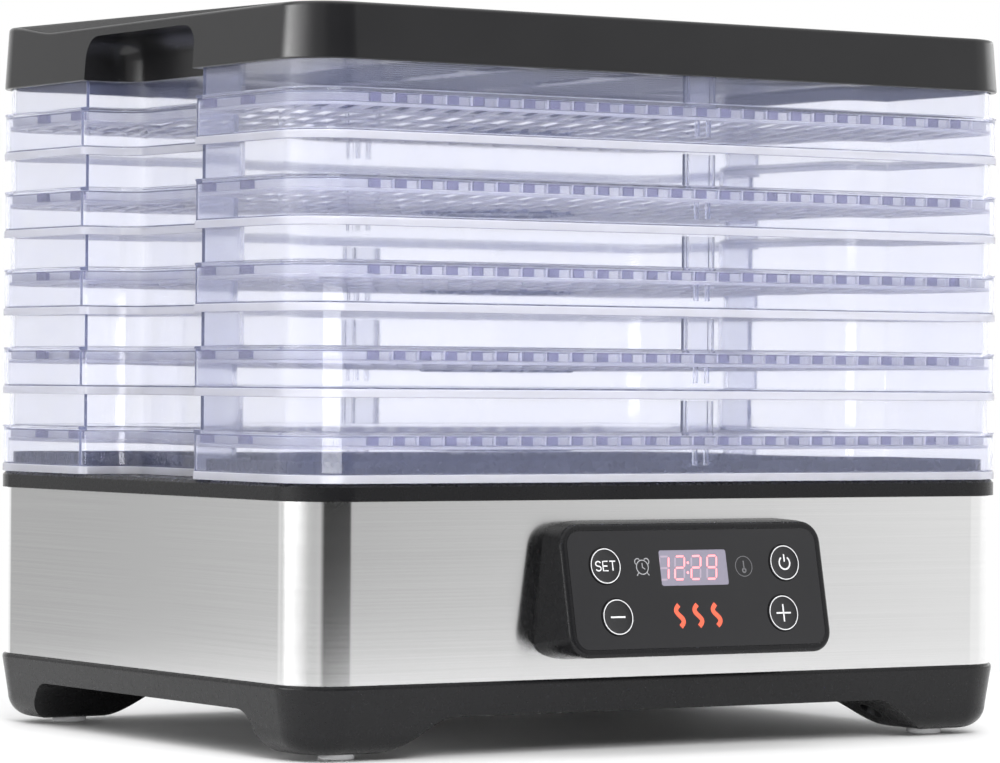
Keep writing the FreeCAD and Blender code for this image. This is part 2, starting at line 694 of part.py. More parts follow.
def display_module():
    """Seven-segment display block between the window and the control board."""
    across, up = DISPLAY_AT
    half_w, half_h = DISPLAY_SIZE[0] / 2, DISPLAY_SIZE[1] / 2
    front = -OVERLAY_DEEP - 0.3
    return on_panel(box(across - half_w, across + half_w, up - half_h, up + half_h, PANEL_BOARD_OUT, front))


def control_board():
    """Board that carries the display and the four switches."""
    half_w, half_h = PANEL_BOARD
    return on_panel(box(-half_w, half_w, -half_h, half_h, PANEL_BOARD_OUT - BOARD_T, PANEL_BOARD_OUT))


def tact_switches():
    """One switch under each button."""
    half = 3.0
    top = PANEL_BOARD_OUT + SWITCH_H
    switches = []
    for across, up in BUTTON_PLACES.values():
        body = box(across - half, across + half, up - half, up + half, PANEL_BOARD_OUT, top)
        plunger = cylinder(across, up, top, top + SWITCH_PLUNGER, 1.7)
        switches.append(on_panel(fuse([body, plunger])))
    return Part.makeCompound(switches)


def button(place):
    """Round key: cap, retaining flange behind the overlay, stem to its switch."""
    across, up = place
    flange_top = -OVERLAY_DEEP - LAP_CLEAR
    flange_low = flange_top - 1.0
    stem_low = PANEL_BOARD_OUT + SWITCH_H + SWITCH_PLUNGER + BUTTON_TRAVEL + 0.1
    cap = cylinder(across, up, flange_low, BUTTON_PROUD, BUTTON_R)
    top_edge = [edge for edge in cap.Edges if edge.BoundBox.ZMin > BUTTON_PROUD - 0.01]
    cap = cap.makeFillet(BUTTON_EDGE, top_edge)
    flange = cylinder(across, up, flange_low, flange_top, BUTTON_R + BUTTON_FLANGE)
    stem = cylinder(across, up, stem_low, flange_top - 0.5, BUTTON_STEM_R)
    return on_panel(fuse([cap, flange, stem]))


def pod_screws():
    """Four screws from inside the band into the pod's walls."""
    screws = []
    for x, z in POD_SCREWS:
        head = level_cylinder(x, z, -HALF_D + BAND_T, -HALF_D + BAND_T + 1.8, 3.0)
        shank = level_cylinder(x, z, -HALF_D, -HALF_D + BAND_T + 1.2, 1.6)
        screws.append(fuse([head, shank]))
    return Part.makeCompound(screws)


# ---------------------------------------------------------------- trays
def wall_box(side, x0, x1, offset0, offset1, z0, z1):
    """Box against the front (-1) or rear (1) wall, between two offsets of the outline."""
    ys = sorted([side * (HALF_D + offset0), side * (HALF_D + offset1)])
    return box(x0, x1, *ys, z0, z1)


def tray_frame(z):
    """Clear tray wall: wide skirt, shoulder, narrow upper wall, lap ledge, posts."""
    inner = WALL_OUT - TRAY_WALL_T
    skirt_in = WALL_OUT + LAP_CLEAR
    top = z + TRAY_PITCH + LAP_H
    shoulder = z + SKIRT_H
    ledge = z + LAP_H + LAP_CLEAR
    parts = [
        notched_ring(SKIRT_OUT, skirt_in, z, shoulder),
        notched_ring(SKIRT_OUT - 0.5, inner, shoulder - TRAY_WALL_T, shoulder),
        notched_ring(WALL_OUT, inner, shoulder - TRAY_WALL_T, top),
        notched_ring(skirt_in + 0.3, inner, ledge, ledge + LEDGE_T),
    ]
    for side in (-1, 1):
        parts.append(wall_box(side, *POST_X, inner + 0.2, inner - POST_DEEP, shoulder - 0.5, top - 2))
        for x in RIB_X:
            parts.append(wall_box(side, x, x + RIB_T, skirt_in + 0.2, inner, ledge + 1, z + MESH_RISE))
    return fuse(parts)


def in_solid_area(x, y, half_x, half_y):
    """Whether a slot there would reach the mesh's border or a notch, or lie within the hub."""
    reach_x = HALF_W - MESH_EDGE - half_x
    reach_y = HALF_D - MESH_EDGE - half_y
    corner = 12.0
    past_border = abs(x) > reach_x or abs(y) > reach_y
    in_corner = abs(x) > reach_x - corner and abs(y) > reach_y - corner
    in_notch = abs(y) < NOTCH_HALF + half_y + 4 and abs(x) > NOTCH_X - half_x - 6
    in_hub = math.hypot(abs(x) + half_x, abs(y) + half_y) < HUB_R
    return past_border or in_corner or in_notch or in_hub


def mesh_holes(z):
    """Wires of the slanting slots; a slot leans by one pitch across from one row to the next."""
    pitch_x, pitch_y = MESH_PITCH
    half_x = (pitch_x - MESH_BAR[0]) / 2
    columns = int(HALF_W / pitch_x) + 1
    wires = []
    for row in range(MESH_ROWS):
        y = (row - (MESH_ROWS - 1) / 2) * pitch_y
        low = max(y - (pitch_y - MESH_BAR[1]) / 2, MESH_EDGE + 1 - HALF_D)
        high = min(y + (pitch_y - MESH_BAR[1]) / 2, HALF_D - MESH_EDGE - 1)
        middle, half_y = (low + high) / 2, (high - low) / 2
        lean = pitch_x / pitch_y * half_y
        for column in range(-columns, columns + 1):
            x = column * pitch_x + (middle - y) * pitch_x / pitch_y
            if in_solid_area(x, middle, half_x + lean, half_y):
                continue
            points = [
                V(x - lean - half_x, low, z),
                V(x - lean + half_x, low, z),
                V(x + lean + half_x, high, z),
                V(x + lean - half_x, high, z),
            ]
            wires.append(Part.makePolygon(points + points[:1]))
    return wires


def tray_mesh(z):
    """Open mesh floor of a tray, with its solid hub."""
    low = z + MESH_RISE
    plate = notched(WALL_OUT + LAP_CLEAR, low, low + MESH_T)
    bottom = [face for face in plate.Faces if abs(face.CenterOfMass.z - low) < 0.01][0]
    pierced = Part.Face([bottom.OuterWire] + mesh_holes(low))
    floor = pierced.extrude(V(0, 0, MESH_T))
    return fuse([floor, cylinder(0, 0, low - HUB_DROP, low + MESH_T + HUB_PROUD, HUB_R)])


# ---------------------------------------------------------------- lid
def lid_vents():
    """Rows of outlet slots through the lid's roof."""
    length, width = VENT_SLOT
    pitch_x, pitch_y = VENT_PITCH
    low, high = LID_TOP_Z - LID_ROOF_T - 3, LID_TOP_Z + 3
    half_rows = VENT_ROWS // 2
    slots = []
    for column in (-1, 0, 1):
        for row in range(-half_rows, half_rows + 1):
            wire = rounded_rect(length, width, width / 2 - 0.05, x=column * pitch_x, y=row * pitch_y, z=low)
            slots.append(prism(wire, high - low))
    return slots


def lid_kick():
    """Rear strip of the lid, which sweeps up to its edge."""
    rear = HALF_D + LID_OUT_TOP
    start, crest = KICK_Y
    z0 = LID_TOP_Z - 0.6
    z1 = LID_TOP_Z + LID_KICK
    curve = Part.BezierCurve()
    curve.setPoles([V(-FAR, start, z0), V(-FAR, start + 18, z0), V(-FAR, crest - 16, z1), V(-FAR, crest, z1)])
    edges = [
        curve.toShape(),
        line(V(-FAR, crest, z1), V(-FAR, rear, z1)),
        line(V(-FAR, rear, z1), V(-FAR, rear, z0)),
        line(V(-FAR, rear, z0), V(-FAR, start, z0)),
    ]
    strip = Part.Face(Part.Wire(edges)).extrude(ACROSS * (2 * FAR))
    return strip.common(tapered(LID_OUT_TOP, z0 - PAST, LID_OUT_TOP - 0.6, z1 + PAST))


def lid():
    """Black lid with hand notches, outlet slots and a raised rear edge."""
    lap_in = WALL_OUT + LAP_CLEAR + 0.3
    wall_in = WALL_OUT - TRAY_WALL_T - 0.4
    seat_z = TRAY_Z[-1] + TRAY_PITCH + LAP_H + LAP_CLEAR
    edge_z = LID_TOP_Z - LID_EDGE
    shell = fuse([
        tapered(LID_OUT_LOW, LID_Z, LID_OUT_TOP + 0.1, edge_z),
        tapered(LID_OUT_TOP + 0.1, edge_z, LID_OUT_TOP - LID_EDGE, LID_TOP_Z),
        lid_kick(),
    ])
    field = rounded_rect(*VENT_FIELD, VENT_FIELD_R, z=LID_TOP_Z - VENT_FIELD_DEEP)
    cuts = notches(LID_OUT_LOW, LID_Z - PAST, NOTCH_TOP_Z)
    cuts.append(notched(lap_in, LID_Z - PAST, seat_z))
    cuts.append(notched(wall_in, seat_z - PAST, LID_TOP_Z - LID_ROOF_T))
    cuts.append(prism(field, LID_KICK + PAST))
    cuts += lid_vents()
    return shell.cut(cuts)


# ---------------------------------------------------------------- every piece
def build():
    """All pieces by name."""
    element = heater_element()
    pieces = {
        "lower_housing": lower_housing(),
        "rubber_feet": rubber_feet(),
        "steel_band": steel_band(),
        "top_deck": top_deck(),
        "outlet_grille": outlet_grille(),
        "cord_gland": cord_gland(),
        "base_screws": base_screws(),
        "motor_mount": motor_mount(),
        "motor_core": motor_core(),
        "motor_coil": motor_coil(),
        "motor_bracket_lower": motor_bracket(BRACKET_LOW_Z, STRAP_Z + STRAP_T, CORE_Z),
        "motor_bracket_upper": motor_bracket(BRACKET_HIGH_Z, CORE_Z + CORE_H, BRACKET_HIGH_Z + BRACKET_T),
        "motor_shaft": motor_shaft(),
        "motor_rotor": motor_rotor(),
        "fan_impeller": fan_impeller(),
        "impeller_nut": impeller_nut(),
        "air_duct": air_duct(),
        "heater_element": element,
        "heater_clips": heater_clips(element),
        "temperature_sensor": temperature_sensor(),
        "thermal_fuse": thermal_fuse(),
        "power_board": power_board(),
        "power_components": power_components(),
        "control_pod": control_pod(),
        "panel_overlay": panel_overlay(),
        "display_window": display_window(),
        "display_module": display_module(),
        "control_board": control_board(),
        "tact_switches": tact_switches(),
        "pod_screws": pod_screws(),
        "lid": lid(),
    }
    for name, place in BUTTON_PLACES.items():
        pieces[name] = button(place)
    for index, z in enumerate(TRAY_Z, start=1):
        pieces["tray_frame_%d" % index] = tray_frame(z)
        pieces["tray_mesh_%d" % index] = tray_mesh(z)
    return pieces


os.makedirs("parts", exist_ok=True)
for node, shape in build().items():
    shape.translate(V(0, SHIFT_Y, 0))
    shape.exportStep("parts/%s.step" % node)
    solids = shape.Solids
    print("%-22s solids %d valid %s volume %.0f" % (node, len(solids), shape.isValid(), shape.Volume))
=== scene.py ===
"""Looks of the food dehydrator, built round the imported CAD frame.  Metres, +Z up, panel towards -Y."""
import contextlib
import json
import math

import bmesh
import bpy
from mathutils import Matrix, Vector


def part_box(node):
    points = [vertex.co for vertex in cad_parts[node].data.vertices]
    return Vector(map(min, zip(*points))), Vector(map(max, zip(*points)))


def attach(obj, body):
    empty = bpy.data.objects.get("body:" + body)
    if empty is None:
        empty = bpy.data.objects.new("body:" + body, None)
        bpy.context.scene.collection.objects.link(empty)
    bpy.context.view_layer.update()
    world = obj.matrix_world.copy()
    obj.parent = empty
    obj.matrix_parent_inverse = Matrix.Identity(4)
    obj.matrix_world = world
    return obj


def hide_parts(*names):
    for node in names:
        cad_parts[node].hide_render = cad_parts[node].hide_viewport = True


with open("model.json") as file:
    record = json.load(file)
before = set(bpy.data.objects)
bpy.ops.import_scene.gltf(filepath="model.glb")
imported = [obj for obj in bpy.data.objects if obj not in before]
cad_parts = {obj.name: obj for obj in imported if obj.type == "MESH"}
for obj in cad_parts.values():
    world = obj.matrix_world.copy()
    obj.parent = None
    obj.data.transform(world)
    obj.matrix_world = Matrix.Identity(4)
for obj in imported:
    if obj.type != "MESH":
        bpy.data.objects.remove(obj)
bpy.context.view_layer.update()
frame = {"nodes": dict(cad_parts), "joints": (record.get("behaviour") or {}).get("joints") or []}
MM = 0.001
NOISE_SPAN = (0.3, 0.7)         # where nearly all values of a noise lie


def mm(*values):
    """Millimetres to metres: one number, or a tuple of several."""
    metres = tuple(value * MM for value in values)
    return metres if len(metres) > 1 else metres[0]


def pairs_mm(*points):
    """The same for a list of pairs."""
    return [mm(*point) for point in points]


# ---------------- places taken from the frame
BAND_LOW, BAND_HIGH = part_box("steel_band")
CENTRE_Y = (BAND_LOW.y + BAND_HIGH.y) / 2
HALF_W = (BAND_HIGH.x - BAND_LOW.x) / 2
HALF_D = (BAND_HIGH.y - BAND_LOW.y) / 2
TRAY_Z = [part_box("tray_frame_%d" % number)[0].z for number in range(1, 6)]
PITCH = TRAY_Z[1] - TRAY_Z[0]
LID_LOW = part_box("lid")[0].z
LID_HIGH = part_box("lid")[1].z

# ---------------- sizes shared with the CAD
CORNER_R, NOTCH_X, NOTCH_HALF, NOTCH_R, MOUTH_R = mm(20.0, 142.0, 46.0, 11.0, 1.6)
LAP_H = mm(1.8)
MESH_RISE = mm(12.6)
FOOT_Z = mm(2.5)
FLOOR_Z = mm(17.9)
HOUSING_OUT = mm(-1.1, 1.3)
HOUSING_EDGE = mm(9.9, 9.5)
FRONT_ARCH = mm(99.0, 130.0, 15.8)          # half width at the top and at the feet, height
FRONT_EASE = mm(10.0, 10.0)
SIDE_ARCH = (*mm(78.0, 97.0), FLOOR_Z)
SIDE_EASE = mm(7.0, 12.0)
POST_AT = mm(114.0, 104.0)
LID_KICK = mm(4.0)
LID_TOP = LID_HIGH - LID_KICK
NOTCH_TOP = mm(276.5)
WELL_R = mm(4.4)
QUARTERS = ((-1, -1), (-1, 1), (1, -1), (1, 1))


# ---------------- outlines
def quarter(steps):
    """Sine and cosine at even steps over a right angle."""
    return [(math.sin(a), math.cos(a)) for a in (math.pi / 2 * step / steps for step in range(steps + 1))]


def corner_arc(corner, before, after, radius, steps):
    """Points that round a corner between two unit directions."""
    centre = corner - before * radius + after * radius
    return [centre - after * (radius * cos) + before * (radius * sin) for sin, cos in quarter(steps)]


def spread(points, longest):
    """Closed outline with extra points wherever two neighbours are far apart."""
    result = []
    for index, point in enumerate(points):
        following = points[(index + 1) % len(points)]
        count = max(1, math.ceil((following - point).length / longest))
        result += [point.lerp(following, step / count) for step in range(count)]
    return result


def outline(offset, notched, steps=10):
    """The band's outline grown by an offset, with or without the two hand notches."""
    w, d, n, h = HALF_W, HALF_D, NOTCH_X, NOTCH_HALF
    right = [
        (w, -h, 1, 1, MOUTH_R, 1), (n, -h, 1, 1, NOTCH_R, -1),
        (n, h, 1, -1, NOTCH_R, -1), (w, h, 1, -1, MOUTH_R, 1),
    ]
    left = [(-x, -y, -grow_x, -grow_y, r, bend) for x, y, grow_x, grow_y, r, bend in right]
    corners = [(-w, -d, -1, -1, CORNER_R, 1), (w, -d, 1, -1, CORNER_R, 1)]
    corners += right if notched else []
    corners += [(w, d, 1, 1, CORNER_R, 1), (-w, d, -1, 1, CORNER_R, 1)]
    corners += left if notched else []
    places = [Vector((x + grow_x * offset, y + grow_y * offset)) for x, y, grow_x, grow_y, _, _ in corners]
    points = []
    for index, (_, _, _, _, radius, bend) in enumerate(corners):
        here = places[index]
        before = (here - places[index - 1]).normalized()
        after = (places[(index + 1) % len(places)] - here).normalized()
        rounded = max(radius + bend * offset, mm(0.1))
        count = steps if radius > 2 * MOUTH_R else 4
        points += corner_arc(here, before, after, rounded, count)
    return [Vector((p.x, p.y + CENTRE_Y)) for p in points]


def soften(profile, radius, steps=3):
    """Closed profile of (offset, height) points with every corner rounded."""
    points = [Vector(p) for p in profile]
    result = []
    for index, point in enumerate(points):
        to_before = points[index - 1] - point
        to_after = points[(index + 1) % len(points)] - point
        reach = min(radius, to_before.length * 0.45, to_after.length * 0.45)
        start = point + to_before.normalized() * reach
        end = point + to_after.normalized() * reach
        for step in range(steps + 1):
            t = step / steps
            result.append(start * (1 - t) ** 2 + point * (2 * t * (1 - t)) + end * t ** 2)
    return result


# ---------------- mesh building
@contextlib.contextmanager
def editing(mesh):
    """A mesh as a bmesh, written back at the end."""
    made = bmesh.new()
    made.from_mesh(mesh)
    yield made
    made.to_mesh(mesh)
    made.free()


def make_object(name, verts, faces, smooth_angle=35.0, weighted=True):
    """Object from plain lists, with normals made to face outwards and sharp edges marked."""
    mesh = bpy.data.meshes.new(name)
    mesh.from_pydata([tuple(v) for v in verts], [], faces)
    with editing(mesh) as made:
        bmesh.ops.remove_doubles(made, verts=made.verts, dist=1e-7)
        bmesh.ops.recalc_face_normals(made, faces=made.faces)
    return finish_object(name, mesh, smooth_angle, weighted)


def linked(name, data):
    """New object in the scene."""
    obj = bpy.data.objects.new(name, data)
    bpy.context.scene.collection.objects.link(obj)
    return obj


def finish_object(name, mesh, smooth_angle=35.0, weighted=True):
    """Links a mesh and shades it smooth below an angle."""
    obj = linked(name, mesh)
    shade(obj, smooth_angle, weighted)
    return obj


def shade(obj, smooth_angle, weighted=True):
    """Smooth shading below an angle, with flat faces kept flat."""
    obj.data.shade_smooth()
    obj.data.set_sharp_from_angle(angle=math.radians(smooth_angle))
    if weighted:
        obj.modifiers.new("flat_faces", "WEIGHTED_NORMAL").keep_sharp = True


def ring_faces(rings, count, closed):
    """Quads between stacked rings of the same number of points."""
    faces = []
    for ring in range(rings if closed else rings - 1):
        above = (ring + 1) % rings
        for index in range(count):
            right = (index + 1) % count
            low, high = ring * count, above * count
            faces.append((low + index, low + right, high + right, high + index))
    return faces


def capped(rings):
    """Closed solid through rings of points, with a flat face at each end, as (verts, faces)."""
    verts = sum(rings, [])
    count, total = len(rings[0]), len(verts)
    ends = [tuple(range(count)), tuple(range(total - count, total))]
    return verts, ring_faces(len(rings), count, False) + ends


def sweep(name, profile, notched, steps=10):
    """Closed ring: a profile of (offset, height) points carried round the outline."""
    rings = [[(p.x, p.y, height) for p in outline(offset, notched, steps)] for offset, height in profile]
    return make_object(name, sum(rings, []), ring_faces(len(rings), len(rings[0]), True))


def stack(levels, notched):
    """Closed solid from (offset, height) levels with flat ends, as (verts, faces)."""
    return capped([[(p.x, p.y, height) for p in outline(offset, notched)] for offset, height in levels])


def lathe(name, profile, steps=64, hollow=False):
    """Solid of revolution about Z from (radius, height) points, with flat ends or as a closed ring."""
    turns = [2 * math.pi * step / steps for step in range(steps)]
    rings = [[(r * math.cos(a), r * math.sin(a), height) for a in turns]
             for r, height in ((max(radius, 1e-6), height) for radius, height in profile)]
    if hollow:
        return make_object(name, sum(rings, []), ring_faces(len(rings), steps, True))
    return make_object(name, *capped(rings))


def slab(points, low, high):
    """Upright prism on a 2-D polygon, as (verts, faces)."""
    return capped([[(p[0], p[1], z) for p in points] for z in (low, high)])


def join(parts):
    """One (verts, faces) pair from several."""
    verts, faces = [], []
    for more_verts, more_faces in parts:
        base = len(verts)
        verts += list(more_verts)
        faces += [tuple(base + i for i in face) for face in more_faces]
    return verts, faces


def box_part(low, high):
    """Box between two corners, as (verts, faces)."""
    (x0, y0, z0), (x1, y1, z1) = low, high
    return slab([(x0, y0), (x1, y0), (x1, y1), (x0, y1)], z0, z1)


def rounded_box_points(cx, cy, width, height, radius, steps=6):
    """2-D rounded rectangle."""
    corners = [(-1, -1), (1, -1), (1, 1), (-1, 1)]
    places = [Vector((cx + sx * width / 2, cy + sy * height / 2)) for sx, sy in corners]
    points = []
    for index, here in enumerate(places):
        before = (here - places[index - 1]).normalized()
        after = (places[(index + 1) % 4] - here).normalized()
        points += corner_arc(here, before, after, radius, steps)
    return points


def bake_modifiers(obj):
    """Applies every modifier, so that the piece is a plain mesh."""
    bpy.context.view_layer.update()
    graph = bpy.context.evaluated_depsgraph_get()
    mesh = bpy.data.meshes.new_from_object(obj.evaluated_get(graph), depsgraph=graph)
    obj.modifiers.clear()
    obj.data = mesh


def carve(obj, cutters):
    """Cuts closed parts out of an object, one boolean for all of them."""
    tool = make_object(obj.name + "_tool", *join(cutters), weighted=False)
    modifier = obj.modifiers.new("cut", "BOOLEAN")
    modifier.operation = "DIFFERENCE"
    modifier.solver = "EXACT"
    modifier.use_self = True
    modifier.object = tool
    bake_modifiers(obj)
    bpy.data.objects.remove(tool)


def ease_edges(obj, width, segments=3, angle=30.0):
    """Rounds sharp edges and evens the shading."""
    with editing(obj.data) as made:
        bmesh.ops.remove_doubles(made, verts=made.verts, dist=2e-6)
        bmesh.ops.dissolve_limit(made, angle_limit=math.radians(0.5), verts=made.verts, edges=made.edges)
    modifier = obj.modifiers.new("edges", "BEVEL")
    modifier.width = width
    modifier.segments = segments
    modifier.limit_method = "ANGLE"
    modifier.angle_limit = math.radians(angle)
    modifier.miter_outer = "MITER_ARC"
    modifier.harden_normals = False
    bake_modifiers(obj)
    shade(obj, 40.0)


# ---------------- materials
def new_material(name):
    """Material with an empty node tree but for its Principled shader and output."""
    material = bpy.data.materials.new(name)
    material.use_nodes = True
    tree = material.node_tree
    return material, tree, tree.nodes["Principled BSDF"]


def dial(node, **sockets):
    """Sets sockets of a node: a plain value, or a link from another node's socket."""
    for name, value in sockets.items():
        socket = node.inputs[name.replace("_", " ")]
        if isinstance(value, bpy.types.NodeSocket):
            node.id_data.links.new(value, socket)
        else:
            socket.default_value = value
    return node


def add(tree, kind, **values):
    """Node of a kind, with its plain properties set."""
    node = tree.nodes.new(kind)
    for key, value in values.items():
        setattr(node, key, value)
    return node


def noise(tree, scale, stretch=(1, 1, 1), detail=3.0, roughness=0.5):
    """Noise in object coordinates; stretch multiplies the frequency along each axis."""
    place = add(tree, "ShaderNodeTexCoord").outputs["Object"]
    mapping = dial(add(tree, "ShaderNodeMapping"), Vector=place, Scale=stretch)
    texture = add(tree, "ShaderNodeTexNoise")
    dial(texture, Vector=mapping.outputs["Vector"], Scale=scale, Detail=detail, Roughness=roughness)
    return texture.outputs["Fac"]


def scaled(tree, source, low, high):
    """Maps the usual span of a noise onto a range."""
    node = add(tree, "ShaderNodeMapRange")
    dial(node, Value=source, From_Min=NOISE_SPAN[0], From_Max=NOISE_SPAN[1], To_Min=low, To_Max=high)
    return node.outputs["Result"]


def mixed_colour(tree, source, first, second):
    """Colour between two, driven by a noise."""
    ramp = add(tree, "ShaderNodeValToRGB")
    for element, position, colour in zip(ramp.color_ramp.elements, NOISE_SPAN, (first, second)):
        element.position = position
        element.color = (*colour, 1)
    return dial(ramp, Fac=source).outputs["Color"]


def dimmed(colour, factor):
    """Colour made darker or lighter, never past white."""
    return tuple(min(1.0, channel * factor) for channel in colour)


def bump(tree, shader, height, strength, distance):
    """Surface relief from a noise."""
    node = dial(add(tree, "ShaderNodeBump"), Strength=strength, Distance=distance, Height=height)
    dial(shader, Normal=node.outputs["Normal"])


def moulded(name, dark, light, rough, grain=0.25, gloss=0.5):
    """Moulded plastic: faint colour drift, uneven gloss and a fine spark-eroded grain."""
    material, tree, shader = new_material(name)
    drift = mixed_colour(tree, noise(tree, 22.0, detail=2.0), dark, light)
    uneven = scaled(tree, noise(tree, 300.0, detail=3.0), rough - 0.01, rough + 0.015)
    dial(shader, Base_Color=drift, Roughness=uneven, IOR=1.5, Specular_IOR_Level=gloss)
    bump(tree, shader, noise(tree, 2600.0, detail=1.0), grain, mm(0.04))
    return material


def brushed(name, tone, rough):
    """Steel brushed along the band: long level scratches that spread highlights up and down."""
    material, tree, shader = new_material(name)
    streaks = noise(tree, 1.0, stretch=(6, 6, 3600), detail=3.0, roughness=0.6)
    colour = mixed_colour(tree, streaks, dimmed((tone,) * 3, 0.975), dimmed((tone,) * 3, 1.03))
    uneven = scaled(tree, streaks, rough - 0.015, rough + 0.02)
    along = add(tree, "ShaderNodeTangent", direction_type="RADIAL", axis="Z").outputs["Tangent"]
    dial(shader, Base_Color=colour, Roughness=uneven, Metallic=1.0)
    dial(shader, Anisotropic=0.85, Anisotropic_Rotation=0.25, Tangent=along)
    bump(tree, shader, streaks, 0.05, mm(0.01))
    return material


def mixed_shader(tree, first, second, share):
    """Mix of two shaders; share is how much of the second."""
    node = add(tree, "ShaderNodeMixShader")
    for socket, shader in zip(node.inputs[1:], (first, second)):
        tree.links.new(shader.outputs[0], socket)
    return dial(node, Fac=share)


def clear_plastic(name, tint, milk, veil, rough=0.02, ripple=0.1):
    """Clear polystyrene with a bluish cast: glass mixed with a little milky plastic."""
    material, tree, shader = new_material(name)
    ripples = noise(tree, 70.0, detail=1.5)
    uneven = scaled(tree, noise(tree, 240.0), rough, rough + 0.04)
    glass = mixed_colour(tree, ripples, tint, dimmed(tint, 1.02))
    dial(shader, Base_Color=glass, Roughness=uneven, IOR=1.45, Transmission_Weight=1.0)
    bump(tree, shader, ripples, ripple, mm(0.2))
    cloudy = add(tree, "ShaderNodeBsdfPrincipled")
    milky = mixed_colour(tree, ripples, milk, dimmed(milk, 0.94))
    dial(cloudy, Base_Color=milky, Roughness=0.25, IOR=1.45)
    through = dial(add(tree, "ShaderNodeBsdfTranslucent"), Color=(*milk, 1))
    both = mixed_shader(tree, shader, mixed_shader(tree, cloudy, through, 0.5), veil)
    absorb = dial(add(tree, "ShaderNodeVolumeAbsorption"), Color=(0.62, 0.64, 0.95, 1), Density=11.0)
    dial(tree.nodes["Material Output"], Surface=both.outputs["Shader"], Volume=absorb.outputs["Volume"])
    return material


def sheet_metal(name, tone, rough):
    """Plated sheet or cast metal with a mottled finish."""
    material, tree, shader = new_material(name)
    mottle = noise(tree, 180.0, detail=4.0)
    colour = mixed_colour(tree, mottle, dimmed(tone, 0.85), tone)
    uneven = scaled(tree, mottle, rough - 0.06, rough + 0.1)
    dial(shader, Base_Color=colour, Roughness=uneven, Metallic=1.0)
    bump(tree, shader, mottle, 0.1, mm(0.05))
    return material


def ink(name, colour, glow=0.0):
    """Printed ink, or a lit segment when it glows; printed ink given a faint glow carries a painted glow."""
    material, tree, shader = new_material(name)
    speckle = mixed_colour(tree, noise(tree, 1500.0, detail=1.0), dimmed(colour, 0.93), colour)
    dial(shader, Base_Color=speckle, Roughness=0.45)
    if glow:
        dial(shader, Emission_Color=(*colour, 1), Emission_Strength=glow)
    return material


BLACK = moulded(
    "black_satin", (0.0050, 0.0050, 0.0056), (0.0068, 0.0068, 0.0074),
    0.27, grain=0.07, gloss=0.24,
)
LID_BLACK = moulded(
    "lid_satin", (0.0065, 0.0065, 0.0072), (0.0085, 0.0085, 0.0092),
    0.25, grain=0.06, gloss=0.45,
)
GLOSS_BLACK = moulded("black_gloss", (0.006, 0.006, 0.007), (0.008, 0.008, 0.009), 0.14, grain=0.02)
KEY_BLACK = moulded("key_black", (0.009, 0.009, 0.010), (0.012, 0.012, 0.013), 0.24, grain=0.06)
RUBBER = moulded("grey_rubber", (0.46, 0.46, 0.47), (0.54, 0.54, 0.55), 0.7, grain=0.5)
STEEL = brushed("brushed_steel", 0.80, 0.155)
CLEAR = clear_plastic("clear_plastic", (0.985, 0.985, 1.0), (0.56, 0.62, 1.0), 0.10)
MILKY = clear_plastic("milky_plastic", (0.99, 0.99, 1.0), (0.95, 0.95, 1.0), 0.42, rough=0.08)
LATTICE = clear_plastic("lattice_plastic", (0.985, 0.985, 1.0), (0.96, 0.95, 1.0), 0.58, rough=0.12)
TINTED = clear_plastic("tinted_plastic", (0.82, 0.81, 0.94), (0.34, 0.32, 0.50), 0.46, rough=0.10)
FROSTED = clear_plastic("frosted_plastic", (0.66, 0.69, 0.82), (0.34, 0.37, 0.50), 0.62, rough=0.25)
PLATED = sheet_metal("plated_sheet", (0.62, 0.62, 0.62), 0.34)
CAST = sheet_metal("cast_aluminium", (0.66, 0.66, 0.67), 0.42)
IRON = sheet_metal("laminated_iron", (0.25, 0.25, 0.26), 0.5)
SCREW = sheet_metal("screw_steel", (0.55, 0.55, 0.56), 0.28)
COPPER = sheet_metal("coil_copper", (0.72, 0.36, 0.18), 0.4)
FAN = moulded("fan_plastic", (0.05, 0.05, 0.055), (0.07, 0.07, 0.075), 0.4)
BOARD = moulded("board_green", (0.02, 0.11, 0.05), (0.03, 0.15, 0.07), 0.45)
PARTS = moulded("component_black", (0.03, 0.03, 0.03), (0.05, 0.05, 0.05), 0.4)
CERAMIC = moulded("ceramic_white", (0.72, 0.71, 0.67), (0.82, 0.81, 0.77), 0.6)
WHITE_INK = ink("white_ink", (0.50, 0.50, 0.51))
GREY_INK = ink("grey_ink", (0.085, 0.085, 0.09))
# Red ink of the heat mark: printed ink with a faint painted glow (emission 0.05), though the print is no lamp.
RED_INK_PAINTED_GLOW = ink("red_ink_painted_glow", (0.58, 0.085, 0.045), glow=0.05)
LIT = ink("lit_segment", (0.9, 0.22, 0.24), glow=0.75)
UNLIT = ink("unlit_segment", (0.26, 0.22, 0.27))
WINDOW = ink("display_glass", (0.16, 0.15, 0.19))
MARK_INK = ink("mark_ink", (0.24, 0.24, 0.25))


def paint(obj, material):
    """Gives an object one material."""
    obj.data.materials.clear()
    obj.data.materials.append(material)
    return obj


def place(obj, material, body, slot, *nodes):
    """Paints a piece, hangs it on its body and lets it stand for its CAD nodes."""
    paint(obj, material)
    bake_modifiers(obj)
    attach(obj, body)
    if nodes:
        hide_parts(*nodes)
    return obj


